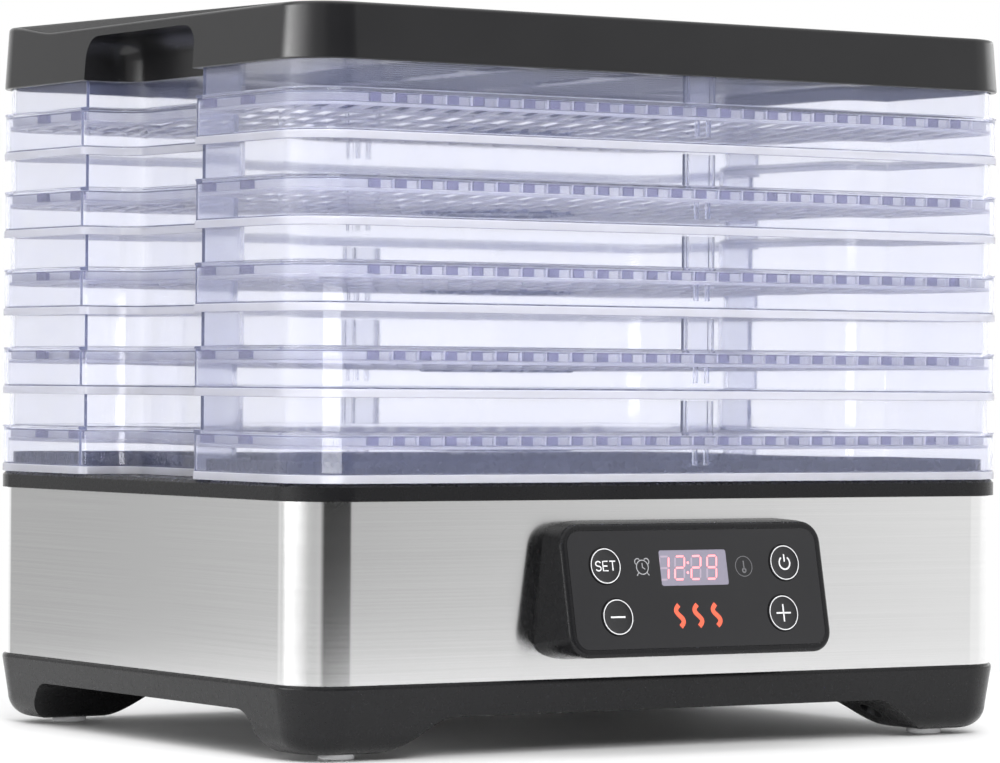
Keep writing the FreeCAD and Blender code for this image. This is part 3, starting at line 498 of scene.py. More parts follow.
# ---------------- base
def lower_housing():
    """Bottom shell: rounded lower edge, corner feet, S-shaped arches, intake slots."""
    top = BAND_LOW.z
    (low_out, top_out), (edge_w, edge_h) = HOUSING_OUT, HOUSING_EDGE
    levels = [(low_out - edge_w * (1 - sin), FOOT_Z + edge_h * (1 - cos)) for sin, cos in quarter(8)]
    edge_z, shoulder_z = levels[-1][1], top - mm(1.5)
    for share in (0.33, 0.66, 1.0):
        levels.append((low_out + (top_out - low_out) * share, edge_z + (shoulder_z - edge_z) * share))
    levels += [(top_out - mm(0.1), top - mm(0.6)), (top_out - mm(0.5), top)]
    shell = make_object("housing_shell", *stack(levels, False))
    cuts = [arch(*FRONT_ARCH, FRONT_EASE, False), arch(*SIDE_ARCH, SIDE_EASE, True)]
    cuts.append(stack([(mm(-2.0), FLOOR_Z + mm(2.5)), (mm(-2.0), top + mm(5))], False))
    carve(shell, cuts)
    wells = []
    for sx, sy in QUARTERS:
        ring = arc_points(sx * POST_AT[0], CENTRE_Y + sy * POST_AT[1], WELL_R, 0, 360, 32)[:-1]
        wells.append(slab(ring, mm(-5), FLOOR_Z - mm(1.0)))
    carve(shell, intake_slots() + wells)
    ease_edges(shell, mm(0.9), 3, 32.0)
    return place(shell, BLACK, "base", "black_plastic", "lower_housing")


def arch(flat_half, foot_half, height, ease, sideways):
    """Prism that opens the space between two feet, with an S-shaped ramp at each end."""
    poles = [(foot_half, FOOT_Z), (foot_half - ease[0], FOOT_Z)]
    poles += [(flat_half + ease[1], height), (flat_half, height)]
    ramp = []
    for step in range(17):
        t = step / 16
        weights = ((1 - t) ** 3, 3 * t * (1 - t) ** 2, 3 * t * t * (1 - t), t ** 3)
        ramp.append(tuple(sum(w * pole[k] for w, pole in zip(weights, poles)) for k in (0, 1)))
    side = [(foot_half, mm(-5))] + ramp
    points = [(-x, z) for x, z in side] + [(x, z) for x, z in reversed(side)]
    verts, faces = slab(points, mm(-300), mm(300))
    if sideways:
        return [(z, x + CENTRE_Y, y) for x, y, z in verts], faces
    return [(x, z, y) for x, y, z in verts], faces


INTAKE_R, SLOT_PITCH = mm(58.0, 9.0)


def intake_slots():
    """Parallel slots in the floor under the fan."""
    cuts = []
    for row in range(-6, 7):
        y = row * SLOT_PITCH
        half = math.sqrt(INTAKE_R ** 2 - y * y) - mm(4.5)
        for side in (-1, 1):
            middle = side * (half + mm(4)) / 2
            points = rounded_box_points(middle, y + CENTRE_Y, half - mm(4), *mm(4.5, 2.2), 4)
            cuts.append(slab(points, *mm(10, 24)))
    return cuts


def rubber_feet():
    """Four soft pads with a rounded lower edge."""
    low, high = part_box("rubber_feet")
    profile = [(0, 0.35), (4.6, 0.35), (5.0, 0), (6.1, 0), (6.7, 0.3), (6.9, 0.9), (6.9, 2.5), (0, 2.6)]
    radius = mm(6.9)
    pads = []
    for sx, sy in QUARTERS:
        x = low.x + radius if sx < 0 else high.x - radius
        y = low.y + radius if sy < 0 else high.y - radius
        pad = lathe("pad", pairs_mm(*profile), 48)
        pad.data.transform(Matrix.Translation((x, y, 0)))
        pads.append(pad)
    return place(merge("rubber_pads", pads), RUBBER, "base", "grey_rubber", "rubber_feet")


def merge(name, objects):
    """One object from several, with their modifiers applied."""
    mesh = bpy.data.meshes.new(name)
    with editing(mesh) as made:
        for obj in objects:
            bake_modifiers(obj)
            made.from_mesh(obj.data)
            bpy.data.objects.remove(obj)
    return finish_object(name, mesh)


def steel_band():
    """The brushed band with rolled edges."""
    low, high = BAND_LOW.z, BAND_HIGH.z
    profile = [(0, low), (0, high), (mm(-0.8), high), (mm(-0.8), low)]
    band = sweep("steel_wrap", soften(profile, mm(0.3), 3), False, 20)
    return place(band, STEEL, "base", "brushed_steel", "steel_band")


def cord_gland():
    """Stepped bush in the rear wall, with ribs for the cord's bend."""
    low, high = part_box("cord_gland")
    profile = [
        (3.6, 16), (5.2, 16), (5.5, 15.4), (7.0, 11.2), (8.6, 11), (9, 10.6),
        (9, 8.4), (8.6, 8), (6, 8), (6, 0), (3.6, 0),
    ]
    bush = lathe("gland_bush", pairs_mm(*profile), 48, hollow=True)
    middle = (low + high) / 2
    turn = Matrix.Translation((middle.x, low.y, middle.z)) @ Matrix.Rotation(math.radians(-90), 4, "X")
    bush.data.transform(turn)
    return place(bush, BLACK, "base", "black_plastic", "cord_gland")


# ---------------- trays
def tray_wall(name):
    """Wall of a tray at height zero: beaded skirt, shoulder, narrow upper wall, lap ledge."""
    top = (PITCH + LAP_H) / MM
    profile = [
        (1.4, 0), (1.4, 17.9), (1.8, 18.3), (1.8, 18.9),
        (-1.0, 18.9), (-1.0, top), (-2.6, top), (-2.6, 17.5), (-0.2, 17.1),
        (-0.2, 3.6), (-2.4, 3.3), (-2.4, 2.1), (-0.7, 2.1), (-0.7, 0),
    ]
    return sweep(name, soften(pairs_mm(*profile), mm(0.4), 2), True, 10)


def tray_posts():
    """Off-centre posts, with ribs that carry on down the skirt."""
    return make_object("post_pattern", *join(post_parts(-1) + post_parts(1)), weighted=False)


def tray_ribs():
    """Bead round the foot of the skirt and a web under the shoulder."""
    bead = pairs_mm((1.35, 0.1), (1.86, 0.1), (1.86, 2.9), (1.35, 3.3))
    web = pairs_mm((-2.3, 14.0), (-2.3, 17.6), (-2.9, 17.6), (-2.9, 14.0))
    rings = [sweep("bead_pattern", soften(bead, mm(0.25), 2), True, 10)]
    rings.append(sweep("web_pattern", soften(web, mm(0.1), 1), True, 10))
    return merge("ribs_pattern", rings)


def tray_teeth():
    """Comb of small blocks under the shoulder, with a thin divider beside each."""
    blocks, dividers = [], []
    low, high = mm(14.1, 17.4)
    block, divider, end_block = mm(2.2, 0.35, 4.0)     # half lengths
    for side in (-1, 1):
        near, far = inward(CENTRE_Y + side * HALF_D, side, 0.5, 2.2)
        for index in range(-12, 13):
            x = index * LATTICE_X
            if abs(x) < HALF_W - CORNER_R:
                blocks.append(box_part((x - block, near, low), (x + block, far, high)))
                x += LATTICE_X - mm(3.4)
                dividers.append(box_part((x - divider, near, low), (x + divider, far, high)))
        near, far = inward(side * HALF_W, side, 0.5, 2.2)
        for index in (-4, -3, -2, 2, 3, 4):
            y = CENTRE_Y + index * 2.55 * LATTICE_X - math.copysign(end_block, index)
            if NOTCH_HALF + mm(6) < abs(y - CENTRE_Y) < HALF_D - CORNER_R:
                blocks.append(box_part((near, y - end_block, low), (far, y + end_block, high)))
    return blocks, dividers


def inward(wall, side, nearest, furthest):
    """Two places at distances in millimetres inside a wall, the lower one first."""
    return sorted([wall - side * mm(furthest), wall - side * mm(nearest)])


def post_parts(side):
    """Box post on the upper wall and the two ribs that carry on down the skirt."""
    wall_y = CENTRE_Y + side * HALF_D
    low_x, high_x, thick, low = mm(5.6, 18.9, 1.1, 18.6)
    top = PITCH + LAP_H - mm(2.4)
    near, far = inward(wall_y, side, 2.4, 5.6)
    parts = [box_part((x, near, low), (x + thick, far, top)) for x in (low_x, high_x - thick)]
    near, far = inward(wall_y, side, 4.6, 5.6)
    parts.append(box_part((low_x + thick, near, low), (high_x - thick, far, top)))
    near, far = inward(wall_y, side, 0.6, 2.5)
    parts += [box_part((x, near, mm(6.2)), (x + thick, far, MESH_RISE)) for x in mm(9.1, 14.4)]
    return parts


LATTICE_X, LATTICE_Y = mm(11.35, 36.0)
LATTICE_ROWS = 7
STRAND = mm(3.3, 1.2)           # width, height
CROSSBAR = mm(3.8, 1.3)
SAG = mm(1.7)
HUB_R = mm(31.5)
LATTICE_GAP = mm(3.0)           # between the ends of the bars and the outline


def inside(x, y, margin):
    """Whether a point keeps a margin from the wall, the notches and the hub."""
    margin -= 1e-7
    across, along = abs(x), abs(y - CENTRE_Y)
    if across > HALF_W - margin or along > HALF_D - margin:
        return False
    if across > NOTCH_X - margin and along < NOTCH_HALF + margin:
        return False
    corner_x, corner_y = across - (HALF_W - CORNER_R), along - (HALF_D - CORNER_R)
    if corner_x > 0 and corner_y > 0 and math.hypot(corner_x, corner_y) > CORNER_R - margin:
        return False
    return math.hypot(across, along) >= HUB_R - mm(1.0)


def sag(x, y):
    """How far the mesh hangs below its edge."""
    return SAG * (1 - (x / HALF_W) ** 2) * (1 - ((y - CENTRE_Y) / HALF_D) ** 2)


def bar(points, size, base):
    """Bar through points on a straight line, its long edges bevelled, as (verts, faces)."""
    width, height = size
    along = (Vector(points[-1]) - Vector(points[0])).normalized()
    side = Vector((-along.y, along.x))
    half, cut = width / 2, min(width, height) * 0.25
    section = [
        (half - cut, 0), (half, cut), (half, height - cut), (half - cut, height),
        (cut - half, height), (-half, height - cut), (-half, cut), (cut - half, 0),
    ]
    return capped([
        [(x + side.x * across, y + side.y * across, base - sag(x, y) + up) for across, up in section]
        for x, y in points
    ])


def bars_along(line, low, high, size, base):
    """Bars on every stretch of a line that lies inside the tray."""
    step = mm(0.5)
    count = int((high - low) / step)
    parts, run = [], []
    for index in range(count + 2):
        point = line(low + index * step)
        if index <= count and inside(*point, LATTICE_GAP):
            run.append(point)
        elif run:
            if len(run) > 5:
                parts.append(bar(run[:-1:20] + run[-1:], size, base))
            run = []
    return parts


def lattice_parts():
    """Slanting strands and level crossbars."""
    lean = LATTICE_X / LATTICE_Y
    parts = []
    reach = int((HALF_W + HALF_D * lean) / LATTICE_X) + 1
    for index in range(-reach, reach + 1):
        x = (index + 0.5) * LATTICE_X
        parts += bars_along(lambda t: (x + lean * t, t + CENTRE_Y), -HALF_D, HALF_D, STRAND, mm(0.1))
    for index in range(LATTICE_ROWS - 1):
        y = (index - LATTICE_ROWS / 2 + 1) * LATTICE_Y
        parts += bars_along(lambda t: (t, y + CENTRE_Y), -HALF_W, HALF_W, CROSSBAR, 0.0)
    return parts


def tray_floor(name):
    """Lattice floor of a tray at height zero, with its edge strip."""
    lattice = make_object(name + "_lattice", *join(lattice_parts()), smooth_angle=25, weighted=False)
    lattice.data.transform(Matrix.Translation((0, 0, MESH_RISE)))
    low, high = MESH_RISE - mm(0.1), MESH_RISE + mm(1.1)
    outer, inner = mm(-0.3, -3.5)
    strip_profile = [(outer, low), (outer, high), (inner, high), (inner, low)]
    strip = sweep(name + "_strip", soften(strip_profile, mm(0.3), 2), True, 10)
    return merge(name, [lattice, strip])


def hub_disc(name):
    """Thick disc in the middle of a tray, with a raised rim underneath."""
    profile = [(0, -1.4), (26.5, -1.4), (27.4, -2.2), (30.9, -2.2)]
    profile += [(31.5, -1.7), (31.5, 0.8), (30.9, 1.4), (0, 1.4)]
    disc = lathe(name, pairs_mm(*profile), 96)
    disc.data.transform(Matrix.Translation((0, CENTRE_Y, MESH_RISE)))
    return disc


def trays():
    """Five trays from one set of pieces."""
    wall = tray_wall("wall_pattern")
    blocks, dividers = [make_object(label, *join(parts), weighted=False)
                        for label, parts in zip(("block_pattern", "divider_pattern"), tray_teeth())]
    patterns = (
        (merge("shell_pattern", [wall, tray_posts()]), "shell", CLEAR, "tray_frame_%d"),
        (tray_ribs(), "ribs", MILKY, None),
        (merge("floor_pattern", [tray_floor("mesh_pattern"), dividers]), "lattice", LATTICE, "tray_mesh_%d"),
        (merge("teeth_pattern", [blocks]), "teeth", TINTED, None),
        (merge("hub_pattern", [hub_disc("disc_pattern")]), "disc", FROSTED, None),
    )
    for pattern, _, _, _ in patterns:
        bake_modifiers(pattern)
    for index, z in enumerate(TRAY_Z, start=1):
        for pattern, label, material, node in patterns:
            piece = linked("tray_%s_%d" % (label, index), pattern.data.copy())
            piece.data.transform(Matrix.Translation((0, 0, z)))
            place(piece, material, "tray_%d" % index, "clear_plastic", *([node % index] if node else []))
    for pattern, _, _, _ in patterns:
        bpy.data.objects.remove(pattern)


# ---------------- lid
def kick(y):
    """Rise of the lid's top near its rear edge."""
    start, crest = (CENTRE_Y + place for place in mm(75.0, 114.0))
    t = max(0.0, min(1.0, (y - start) / (crest - start)))
    return LID_KICK * t * t * (3 - 2 * t)


LID_REACH, LID_DRAFT, LID_EDGE = 1.86, 1.45, 1.5       # past the band, lost on the way up, edge radius: mm


def lid_mesh():
    """Outer body of the lid: drafted sides, rounded top edge, top that follows the kick."""
    levels = [(1.5, 0), (LID_REACH, 0.4), (LID_REACH, 1.2)]
    height = (LID_TOP - LID_LOW) / MM
    edge_z = height - LID_EDGE
    levels += [(LID_REACH - LID_DRAFT * t, 1.2 + (edge_z - 1.2) * t) for t in (0.25, 0.5, 0.75, 1.0)]
    for sin, cos in quarter(6)[1:]:
        levels.append((LID_REACH - LID_DRAFT - LID_EDGE * (1 - cos), edge_z + LID_EDGE * sin))
    rings = []
    for offset, rise in levels:
        points = spread(outline(mm(offset), False, 12), mm(7))
        share = max(0.0, rise / height - 0.1) / 0.9
        rings.append([(p.x, p.y, LID_LOW + mm(rise) + kick(p.y) * share) for p in points])
    return make_object("lid_cover", *capped(rings))


def notch_cutter(side):
    """Hand notch in the lid's side, with a rounded top."""
    depth, top_r, reach = mm(60, 9.0, LID_REACH)
    cx = side * (NOTCH_X + reach + depth / 2)
    levels = [(0, LID_LOW - mm(5))]
    levels += [(top_r * (1 - cos), NOTCH_TOP - top_r + top_r * sin) for sin, cos in quarter(6)]
    rings = []
    for inset, z in levels:
        width, height = depth - 2 * inset, 2 * (NOTCH_HALF - reach) - 2 * inset
        points = rounded_box_points(cx, CENTRE_Y, width, height, max(NOTCH_R - inset * 0.6, mm(2)), 8)
        rings.append([(p.x, p.y, z) for p in points])
    return capped(rings)


def lid_cavity():
    """Hollow of the lid: a rebate that laps the top tray, then the space under the roof."""
    seat = TRAY_Z[-1] + PITCH + LAP_H + mm(0.3)
    roof = LID_TOP - mm(2.5)
    rebate, wall = mm(-0.4, -3.2)
    low = stack([(rebate, LID_LOW - mm(5)), (rebate, seat)], True)
    high = stack([(wall, seat - mm(0.5)), (wall, roof)], True)
    return low, high


def lid_vents(low, high):
    """Outlet slots in three columns, as cutters between two heights."""
    cuts = []
    for column in (-1, 0, 1):
        for row in range(-6, 7):
            x, y = mm(column * 62, row * 10.5)
            cuts.append(slab(rounded_box_points(x, CENTRE_Y + y, *mm(46, 4.5, 2.2), 5), low, high))
    return cuts


def lid():
    """The finished lid."""
    cover = lid_mesh()
    carve(cover, [notch_cutter(-1), notch_cutter(1)])
    for hollow in lid_cavity():
        carve(cover, [hollow])
    field = rounded_box_points(0, CENTRE_Y, *mm(204, 150, 10), 8)
    carve(cover, [slab(field, LID_TOP - mm(1), LID_TOP + mm(9))])
    carve(cover, lid_vents(LID_TOP - mm(8), LID_TOP + mm(8)))
    ease_edges(cover, mm(0.6), 3, 30.0)
    return place(cover, LID_BLACK, "lid_body", "black_plastic", "lid")


def lid_liner():
    """Glossy plate under the roof of the lid, with the same slots."""
    low = LID_LOW + mm(4.6)
    plate = make_object("lid_liner", *slab(outline(mm(-3.4), True), low, low + mm(1.6)))
    carve(plate, lid_vents(low - mm(5), low + mm(5)))
    return place(plate, GLOSS_BLACK, "lid_body", "black_plastic")


# ---------------- control pod
def panel_frame():
    """Matrix from panel coordinates (across, up the slope, out) to the row frame."""
    press = next(j for j in frame["joints"] if j["name"] == "set_press")
    out = -Vector(press["axis"]).normalized()
    across = Vector((1, 0, 0))
    up = out.cross(across).normalized()
    low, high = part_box("panel_overlay")
    turn = Matrix((across, up, out)).transposed().to_4x4()
    return Matrix.Translation((low + high) / 2 + out * mm(0.7)) @ turn


PANEL = panel_frame()
FACE_W, FACE_H, FACE_R = mm(121.8, 51.21, 8.5)
POD_LOW_Z, POD_HIGH_Z = mm(36.0, 88.6)          # where the pod meets the band
POD_LOW_HALF, POD_HIGH_HALF = mm(65.4, 60.6)
POD_EDGE, BEZEL = mm(1.5, 2.8)


def pod_ring(inset, out, radius, share=1.0):
    """Ring on the panel's slope, or part of the way back to the band for a share below one."""
    face = rounded_box_points(0, 0, FACE_W - 2 * inset, FACE_H - 2 * inset, radius, 8)
    points = [PANEL @ Vector((p.x, p.y, out)) for p in face]
    if share >= 1.0:
        return points
    return [back.lerp(point, share) for back, point in zip(pod_back(), points)]


def pod_back():
    """Where the pod meets the band: wider at the bottom than at the top."""
    points = []
    for point in rounded_box_points(0, 0, 2.0, 2.0, 0.25, 8):
        t = (point.y + 1) / 2
        half = POD_LOW_HALF + (POD_HIGH_HALF - POD_LOW_HALF) * t
        points.append(Vector((point.x * half, BAND_LOW.y, POD_LOW_Z + (POD_HIGH_Z - POD_LOW_Z) * t)))
    return points


def control_pod():
    """Wedge housing with a soft outer edge, a bezel and the recess for the panel plate."""
    rings = [pod_ring(0, 0, FACE_R, share) for share in (0.0, 0.35, 0.7)]
    for sin, cos in quarter(5):
        inset = POD_EDGE * (1 - cos)
        rings.append(pod_ring(inset, POD_EDGE * (sin - 1), FACE_R - inset))
    lead = mm(0.25)
    rings.append(pod_ring(BEZEL - lead, 0, FACE_R - BEZEL + lead))
    rings += [pod_ring(BEZEL, out, FACE_R - BEZEL) for out in mm(-0.25, -1.15)]
    rings += [pod_ring(BEZEL + mm(4), out, mm(2)) for out in mm(-1.3, -3.0)]
    pod = make_object("pod_housing", sum(rings, []), ring_faces(len(rings), len(rings[0]), False))
    return place(pod, BLACK, "base", "black_plastic", "control_pod")


def stroke(points, width, closed=False):
    """Flat ribbon of a width along 2-D points, as (verts, faces) in panel coordinates."""
    points = [Vector(p) for p in points]
    count = len(points)
    verts, faces = [], []
    for index, point in enumerate(points):
        before = points[index - 1] if closed or index else point
        after = points[(index + 1) % count] if closed or index < count - 1 else point
        along = (after - before).normalized()
        side = Vector((-along.y, along.x)) * (width / 2)
        verts += [(*(point + side), 0), (*(point - side), 0)]
    for index in range(count if closed else count - 1):
        a, b = 2 * index, 2 * ((index + 1) % count)
        faces.append((a, a + 1, b + 1, b))
    return verts, faces


def arc_points(cx, cy, radius, start, end, steps=24):
    """Points on a circle between two angles in degrees."""
    points = []
    for step in range(steps + 1):
        angle = math.radians(start + (end - start) * step / steps)
        points.append((cx + radius * math.cos(angle), cy + radius * math.sin(angle)))
    return points


def circle(cx, cy, radius, width):
    """Printed ring."""
    return stroke(arc_points(cx, cy, radius, 0, 360, 48)[:-1], width, closed=True)


LETTERS = {                     # strokes across -1..1 and up -1..1
    "S": [[(u, v / 2) for u, v in arc_points(0, 1, 1, 20, 270, 14) + arc_points(0, -1, 1, 90, -160, 14)[1:]]],
    "E": [[(1, 1), (-1, 1), (-1, -1), (1, -1)], [(-1, 0), (0.76, 0)]],
    "T": [[(-1.16, 1), (1.16, 1)], [(0, 1), (0, -1)]],
}


def letter_strokes(text, x, y, height, width):
    """Plain drawn capitals, centred on a point."""
    parts = []
    for index, letter in enumerate(text):
        cx = x + (index - (len(text) - 1) / 2) * width * 1.42
        for line in LETTERS[letter]:
            points = [(cx + u * width / 2, y + v * height / 2) for u, v in line]
            parts.append(stroke(points, height * 0.13))
    return parts


def on_panel(name, parts, out, material, thick, body="base", slot="gloss_black"):
    """Printed or raised marks: parts drawn in panel coordinates, lifted off the plate."""
    verts, faces = join(parts)
    mesh = bpy.data.meshes.new(name)
    mesh.from_pydata(verts, [], faces)
    with editing(mesh) as made:
        bmesh.ops.remove_doubles(made, verts=made.verts, dist=1e-6)
        bmesh.ops.recalc_face_normals(made, faces=made.faces)
        for face in made.faces:
            if face.normal.z < 0:
                face.normal_flip()
        grown = bmesh.ops.extrude_face_region(made, geom=made.faces[:])
        raised = [item for item in grown["geom"] if isinstance(item, bmesh.types.BMVert)]
        bmesh.ops.translate(made, verts=raised, vec=(0, 0, mm(thick)))
        bmesh.ops.recalc_face_normals(made, faces=made.faces)
    obj = finish_object(name, mesh, weighted=False)
    obj.data.transform(PANEL @ Matrix.Translation((0, 0, out)))
    return place(obj, material, body, slot)


def panel_place(node):
    """Centre of a node in panel coordinates."""
    low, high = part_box(node)
    return PANEL.inverted() @ ((low + high) / 2)


def key_marks(name, x, y):
    """The symbol on each key."""
    pen, half, reach = mm(0.62, 3.3, 3.4)
    if name == "set":
        return letter_strokes("SET", x, y, *mm(3.6, 2.3))
    if name == "minus":
        return [stroke([(x - half, y), (x + half, y)], pen)]
    if name == "plus":
        return [stroke([(x - reach, y), (x + reach, y)], pen), stroke([(x, y - reach), (x, y + reach)], pen)]
    ring = stroke(arc_points(x, y - mm(0.1), mm(2.5), 125, 415, 30), pen)
    return [ring, stroke([(x, y + mm(0.4)), (x, y + half)], pen)]


def keys():
    """Four round keys with a dished face, a printed ring and a symbol."""
    profile = [(0, -7.0), (2.0, -7.0), (2.0, -3.0), (8.2, -3.0), (8.2, -1.9), (7.0, -1.9), (7.0, 0.1)]
    profile += [(6.92, 0.34), (6.7, 0.5), (6.4, 0.5), (6.15, 0.36), (4.0, 0.30), (0, 0.28)]
    for name in ("set", "minus", "power", "plus"):
        spot = panel_place("button_%s" % name)
        body = "key_%s" % name
        cap = lathe("key_cap_%s" % name, pairs_mm(*profile), 72)
        cap.data.transform(PANEL @ Matrix.Translation((spot.x, spot.y, 0)))
        place(cap, KEY_BLACK, body, "gloss_black", "button_%s" % name)
        ring = [circle(spot.x, spot.y, *mm(6.55, 0.34))]
        on_panel("key_ring_%s" % name, ring, mm(0.49), WHITE_INK, 0.03, body)
        marks = key_marks(name, spot.x, spot.y)
        on_panel("key_mark_%s" % name, marks, mm(0.33), WHITE_INK, 0.04, body)


SEGMENTS = {"1": "bc", "2": "abged", "8": "abcdefg", "9": "abcdfg"}
SEGMENT_ENDS = {
    "a": ((-1, 2), (1, 2)), "b": ((1, 2), (1, 0)), "c": ((1, 0), (1, -2)), "d": ((-1, -2), (1, -2)),
    "e": ((-1, 0), (-1, -2)), "f": ((-1, 2), (-1, 0)), "g": ((-1, 0), (1, 0)),
}
DIGIT_LEAN = 0.13
DIGIT_SIZE = mm(4.3, 8.9)
DIGITS = (("1", -13.9), ("2", -6.6), ("2", 1.0), ("9", 8.4))       # figure, place across in mm


def digit_parts(symbol, x, y, width, height):
    """Seven-segment figure as slanted hexagon bars."""
    pen, gap = mm(0.72, 0.28)
    parts = []
    for segment in SEGMENTS[symbol]:
        start, end = [Vector((p[0] * width / 2, p[1] * height / 4)) for p in SEGMENT_ENDS[segment]]
        along = (end - start).normalized()
        side = Vector((-along.y, along.x)) * pen / 2
        start, end = start + along * gap, end - along * gap
        cut = along * pen / 2
        shape = [start, start + cut + side, end - cut + side, end, end - cut - side, start + cut - side]
        shape = [(x + p.x + p.y * DIGIT_LEAN, y + p.y, 0) for p in shape]
        parts.append((shape, [tuple(range(6))]))
    return parts


def display():
    """Lit clock figures behind a smoked window."""
    spot = panel_place("display_window")
    low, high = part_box("display_window")
    pane_points = rounded_box_points(spot.x, spot.y, high.x - low.x, *mm(13.7, 0.9), 4)
    pane = make_object("display_pane", *slab(pane_points, 0, mm(0.9)))
    pane.data.transform(PANEL @ Matrix.Translation((0, 0, mm(-1.2))))
    place(pane, WINDOW, "base", "smoked_window", "display_window", "display_module")
    parts, ghosts = [], []
    for symbol, offset in DIGITS:
        parts += digit_parts(symbol, spot.x + mm(offset), spot.y, *DIGIT_SIZE)
        ghosts += digit_parts("8", spot.x + mm(offset), spot.y, *DIGIT_SIZE)
    on_panel("display_ghosts", ghosts, mm(-0.30), UNLIT, 0.03, slot="display_dark")
    for rise in (-1.9, 1.9):
        cx = spot.x + mm(rise * DIGIT_LEAN - 2.8)
        points = rounded_box_points(cx, spot.y + mm(rise), *mm(0.95, 0.95, 0.3), 3)
        parts.append(([(p.x, p.y, 0) for p in points], [tuple(range(len(points)))]))
    on_panel("display_figures", parts, mm(-0.29), LIT, 0.04, slot="display_dark")


def panel_prints():
    """Clock and thermometer symbols and a plain mark of three heat waves."""
    x, y, pen = mm(-24.7, 8.5, 0.36)
    hands = [(x, y + mm(1.6)), (x, y), (x + mm(1.2), y - mm(0.8))]
    clock = [circle(x, y, mm(2.7), pen), stroke(hands, pen)]
    for side in (-1, 1):
        middle = 90 - side * 45
        bell = arc_points(x + side * mm(2.0), y + mm(2.1), mm(1.25), middle - 95, middle + 95, 12)
        foot = [(x + side * mm(1.9), y - mm(2.1)), (x + side * mm(2.8), y - mm(3.2))]
        clock += [stroke(bell, pen), stroke(foot, pen)]
    x, y, pen = mm(22.7, 8.1, 0.6)
    gauge = [circle(x, y, *mm(3.9, 0.3)), circle(x, y - mm(1.6), mm(0.75), pen)]
    gauge.append(stroke([(x, y - mm(1.0)), (x, y + mm(2.2))], pen))
    waves = []
    for place_x in (-9.4, -0.8, 7.8):
        turns = [step / 24 for step in range(25)]
        points = [(place_x - 0.5 + 1.5 * math.sin(2 * math.pi * t), -14.7 + 8.4 * t) for t in turns]
        waves.append(stroke(pairs_mm(*points), mm(1.9)))
    # The heat mark's red ink carries a faint painted glow.
    for name, marks, material in (("clock_print", clock, MARK_INK), ("gauge_print", gauge, GREY_INK),
                                  ("heat_mark", waves, RED_INK_PAINTED_GLOW)):
        on_panel(name, marks, mm(-0.2), material, 0.03)


# ---------------- kept CAD pieces
KEPT = {
    "top_deck": BLACK, "outlet_grille": BLACK, "panel_overlay": GLOSS_BLACK,
    "base_screws": SCREW, "pod_screws": SCREW, "motor_shaft": SCREW, "impeller_nut": SCREW,
    "motor_mount": PLATED, "air_duct": PLATED, "heater_element": PLATED,
    "motor_core": IRON, "motor_coil": COPPER, "motor_rotor": CAST,
    "motor_bracket_lower": CAST, "motor_bracket_upper": CAST,
    "fan_impeller": FAN, "heater_clips": CERAMIC, "temperature_sensor": PARTS, "thermal_fuse": PARTS,
    "power_board": BOARD, "control_board": BOARD, "power_components": PARTS, "tact_switches": PARTS,
}


def kept_cad():
    """Procedural materials on the CAD pieces that stay as they are."""
    for node, material in KEPT.items():
        paint(frame["nodes"][node], material)


# ---------------- studio
def ramp_of(tree, source, low, high, stops):
    """Brightness along a value, from (value, brightness) stops."""
    share = dial(add(tree, "ShaderNodeMapRange"), Value=source, From_Min=low, From_Max=high)
    ramp = dial(add(tree, "ShaderNodeValToRGB"), Fac=share.outputs["Result"])
    elements = ramp.color_ramp.elements
    while len(elements) < len(stops):
        elements.new(0.5)
    for element, (value, brightness) in zip(elements, stops):
        element.position = (value - low) / (high - low)
        element.color = (brightness, brightness, brightness, 1)
    return ramp.outputs["Color"]


def combine(tree, operation, first, second):
    """Result of a math node on two sockets or plain numbers."""
    node = add(tree, "ShaderNodeMath", operation=operation)
    for socket, value in zip(node.inputs, (first, second)):
        if isinstance(value, (int, float)):
            socket.default_value = value
        else:
            tree.links.new(value, socket)
    return node.outputs["Value"]


def studio_world():
    """White room: dark gap behind the camera, light strips to its left and right."""
    world = bpy.data.worlds.new("studio")
    bpy.context.scene.world = world
    world.use_nodes = True
    tree = world.node_tree
    background = tree.nodes["Background"]
    towards = add(tree, "ShaderNodeTexCoord").outputs["Generated"]
    split = dial(add(tree, "ShaderNodeSeparateXYZ"), Vector=towards)
    front = combine(tree, "MULTIPLY", split.outputs["Y"], -1.0)
    turn = combine(tree, "ARCTAN2", split.outputs["X"], front)
    degrees = combine(tree, "MULTIPLY", turn, 180 / math.pi)
    rise = split.outputs["Z"]
    walls = ramp_of(tree, degrees, -180, 180, WALLS)
    strips = ramp_of(tree, degrees, -180, 180, STRIPS)
    level = ramp_of(tree, rise, -1, 1, STRIP_LEVELS)
    overhead = ramp_of(tree, rise, -1, 1, CEILING)
    room = combine(tree, "MAXIMUM", walls, overhead)
    glow = combine(tree, "MULTIPLY", combine(tree, "MULTIPLY", strips, level), STRIP_POWER)
    light = combine(tree, "ADD", room, glow)
    seen = add(tree, "ShaderNodeLightPath")
    choose = add(tree, "ShaderNodeMix", data_type="FLOAT")
    tree.links.new(seen.outputs["Is Camera Ray"], choose.inputs[0])
    tree.links.new(light, choose.inputs[2])
    choose.inputs[3].default_value = 1.0
    tree.links.new(choose.outputs[0], background.inputs["Strength"])
    background.inputs["Color"].default_value = (1, 1, 1, 1)


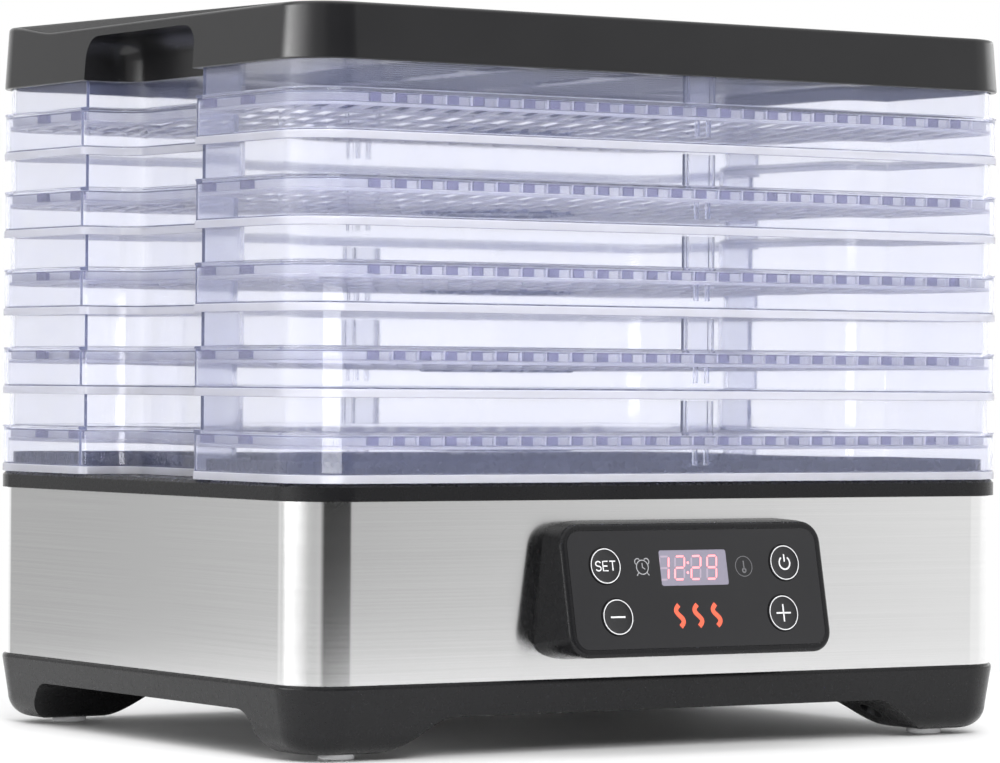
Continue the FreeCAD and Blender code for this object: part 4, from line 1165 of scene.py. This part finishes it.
# Brightness round the room: WALLS and STRIPS by degrees from the front, the other two by sine of height.
WALLS = (
    (-180, 1.25), (-160, 1.00), (-155, 0.46), (-152, 0.48), (-149, 0.64), (-142, 0.85), (-125, 0.55), (-60, 0.5),
    (-40, 0.6), (-31, 0.02), (26, 0.02), (29, 0.44), (33, 0.60), (41, 0.98), (60, 1.0), (100, 1.15), (180, 1.25),
)
STRIPS = (
    (-180, 0), (-134, 0), (-120, 1), (-105, 0.8), (-66, 0.1), (-50, 0),
    (70, 0), (80, 0.12), (118, 0.12), (128, 0), (180, 0),
)
STRIP_LEVELS = ((-1, 0), (-0.03, 0), (0.0, 0.06), (0.09, 0.07), (0.14, 1), (0.19, 1), (0.22, 0), (1, 0))
CEILING = ((-1, 0), (0.38, 0), (0.62, 1.1), (1, 1.1))
STRIP_POWER = 20.0


def area_light(name, location, target, size, power, mirrored=True):
    """Soft rectangular lamp aimed at a point."""
    data = bpy.data.lights.new(name, "AREA")
    data.shape = "RECTANGLE"
    data.size, data.size_y = size
    data.energy = power
    obj = linked(name, data)
    obj.visible_camera = False
    obj.visible_glossy = mirrored
    obj.location = location
    obj.rotation_mode = "QUATERNION"
    obj.rotation_quaternion = (Vector(target) - Vector(location)).to_track_quat("-Z", "Y")


FLOOR_R = 0.45


def floor():
    """Pale studio floor."""
    steps = 96
    verts = [(*point, 0) for point in arc_points(0, 0, FLOOR_R, 0, 360, steps)[:-1]]
    mesh = bpy.data.meshes.new("studio_floor")
    mesh.from_pydata(verts, [], [tuple(range(steps))])
    obj = linked("studio_floor", mesh)
    material, tree, shader = new_material("floor_white")
    faint = noise(tree, 3.0, detail=2.0)
    pale = mixed_colour(tree, faint, (0.72, 0.72, 0.725), (0.74, 0.74, 0.74))
    dial(shader, Base_Color=pale, Roughness=0.6, Specular_IOR_Level=0.2)
    paint(obj, material)


LENS, HEADING, ROLL = 164.07, 32.918, 0.427         # mm, degrees: fitted to the photograph
EYE = (-1.01016, -1.56373, 0.14108)                 # from the middle of the footprint


def camera():
    """Long lens at the height of the trays, turned towards the near left corner."""
    data = bpy.data.cameras.new("camera")
    data.lens = LENS
    data.sensor_width = 36.0
    data.clip_end = 100.0
    obj = linked("camera", data)
    heading, roll = math.radians(HEADING), math.radians(ROLL)
    obj.location = (EYE[0], EYE[1] + CENTRE_Y, EYE[2])
    level = Matrix.Rotation(-heading, 4, "Z") @ Matrix.Rotation(math.radians(90), 4, "X")
    obj.rotation_mode = "QUATERNION"
    obj.rotation_quaternion = (level @ Matrix.Rotation(roll, 4, "Z")).to_quaternion()
    bpy.context.scene.camera = obj


# ---------------- assembly
camera()
studio_world()
area_light("left_softbox", (-1.5, 0.1, 1.3), (0, 0, 0.15), (1.2, 1.2), 7)
area_light("top_softbox", (0.1, 0.1, 1.9), (0, 0, 0.2), (1.8, 1.4), 10)
area_light("front_softbox", (-0.55, -1.45, 1.0), (0, 0, 0.15), (0.9, 0.9), 34, mirrored=False)
area_light("low_softbox", (-0.50, -1.35, 0.05), (0, 0, 0.25), (1.0, 0.3), 14, mirrored=False)
floor()
kept_cad()
lower_housing()
rubber_feet()
steel_band()
cord_gland()
trays()
lid()
lid_liner()
control_pod()
keys()
display()
panel_prints()
bpy.context.scene.view_settings.view_transform = "Standard"
bpy.context.scene.cycles.max_bounces = 24
bpy.context.scene.cycles.transmission_bounces = 24
bpy.context.scene.cycles.transparent_max_bounces = 16
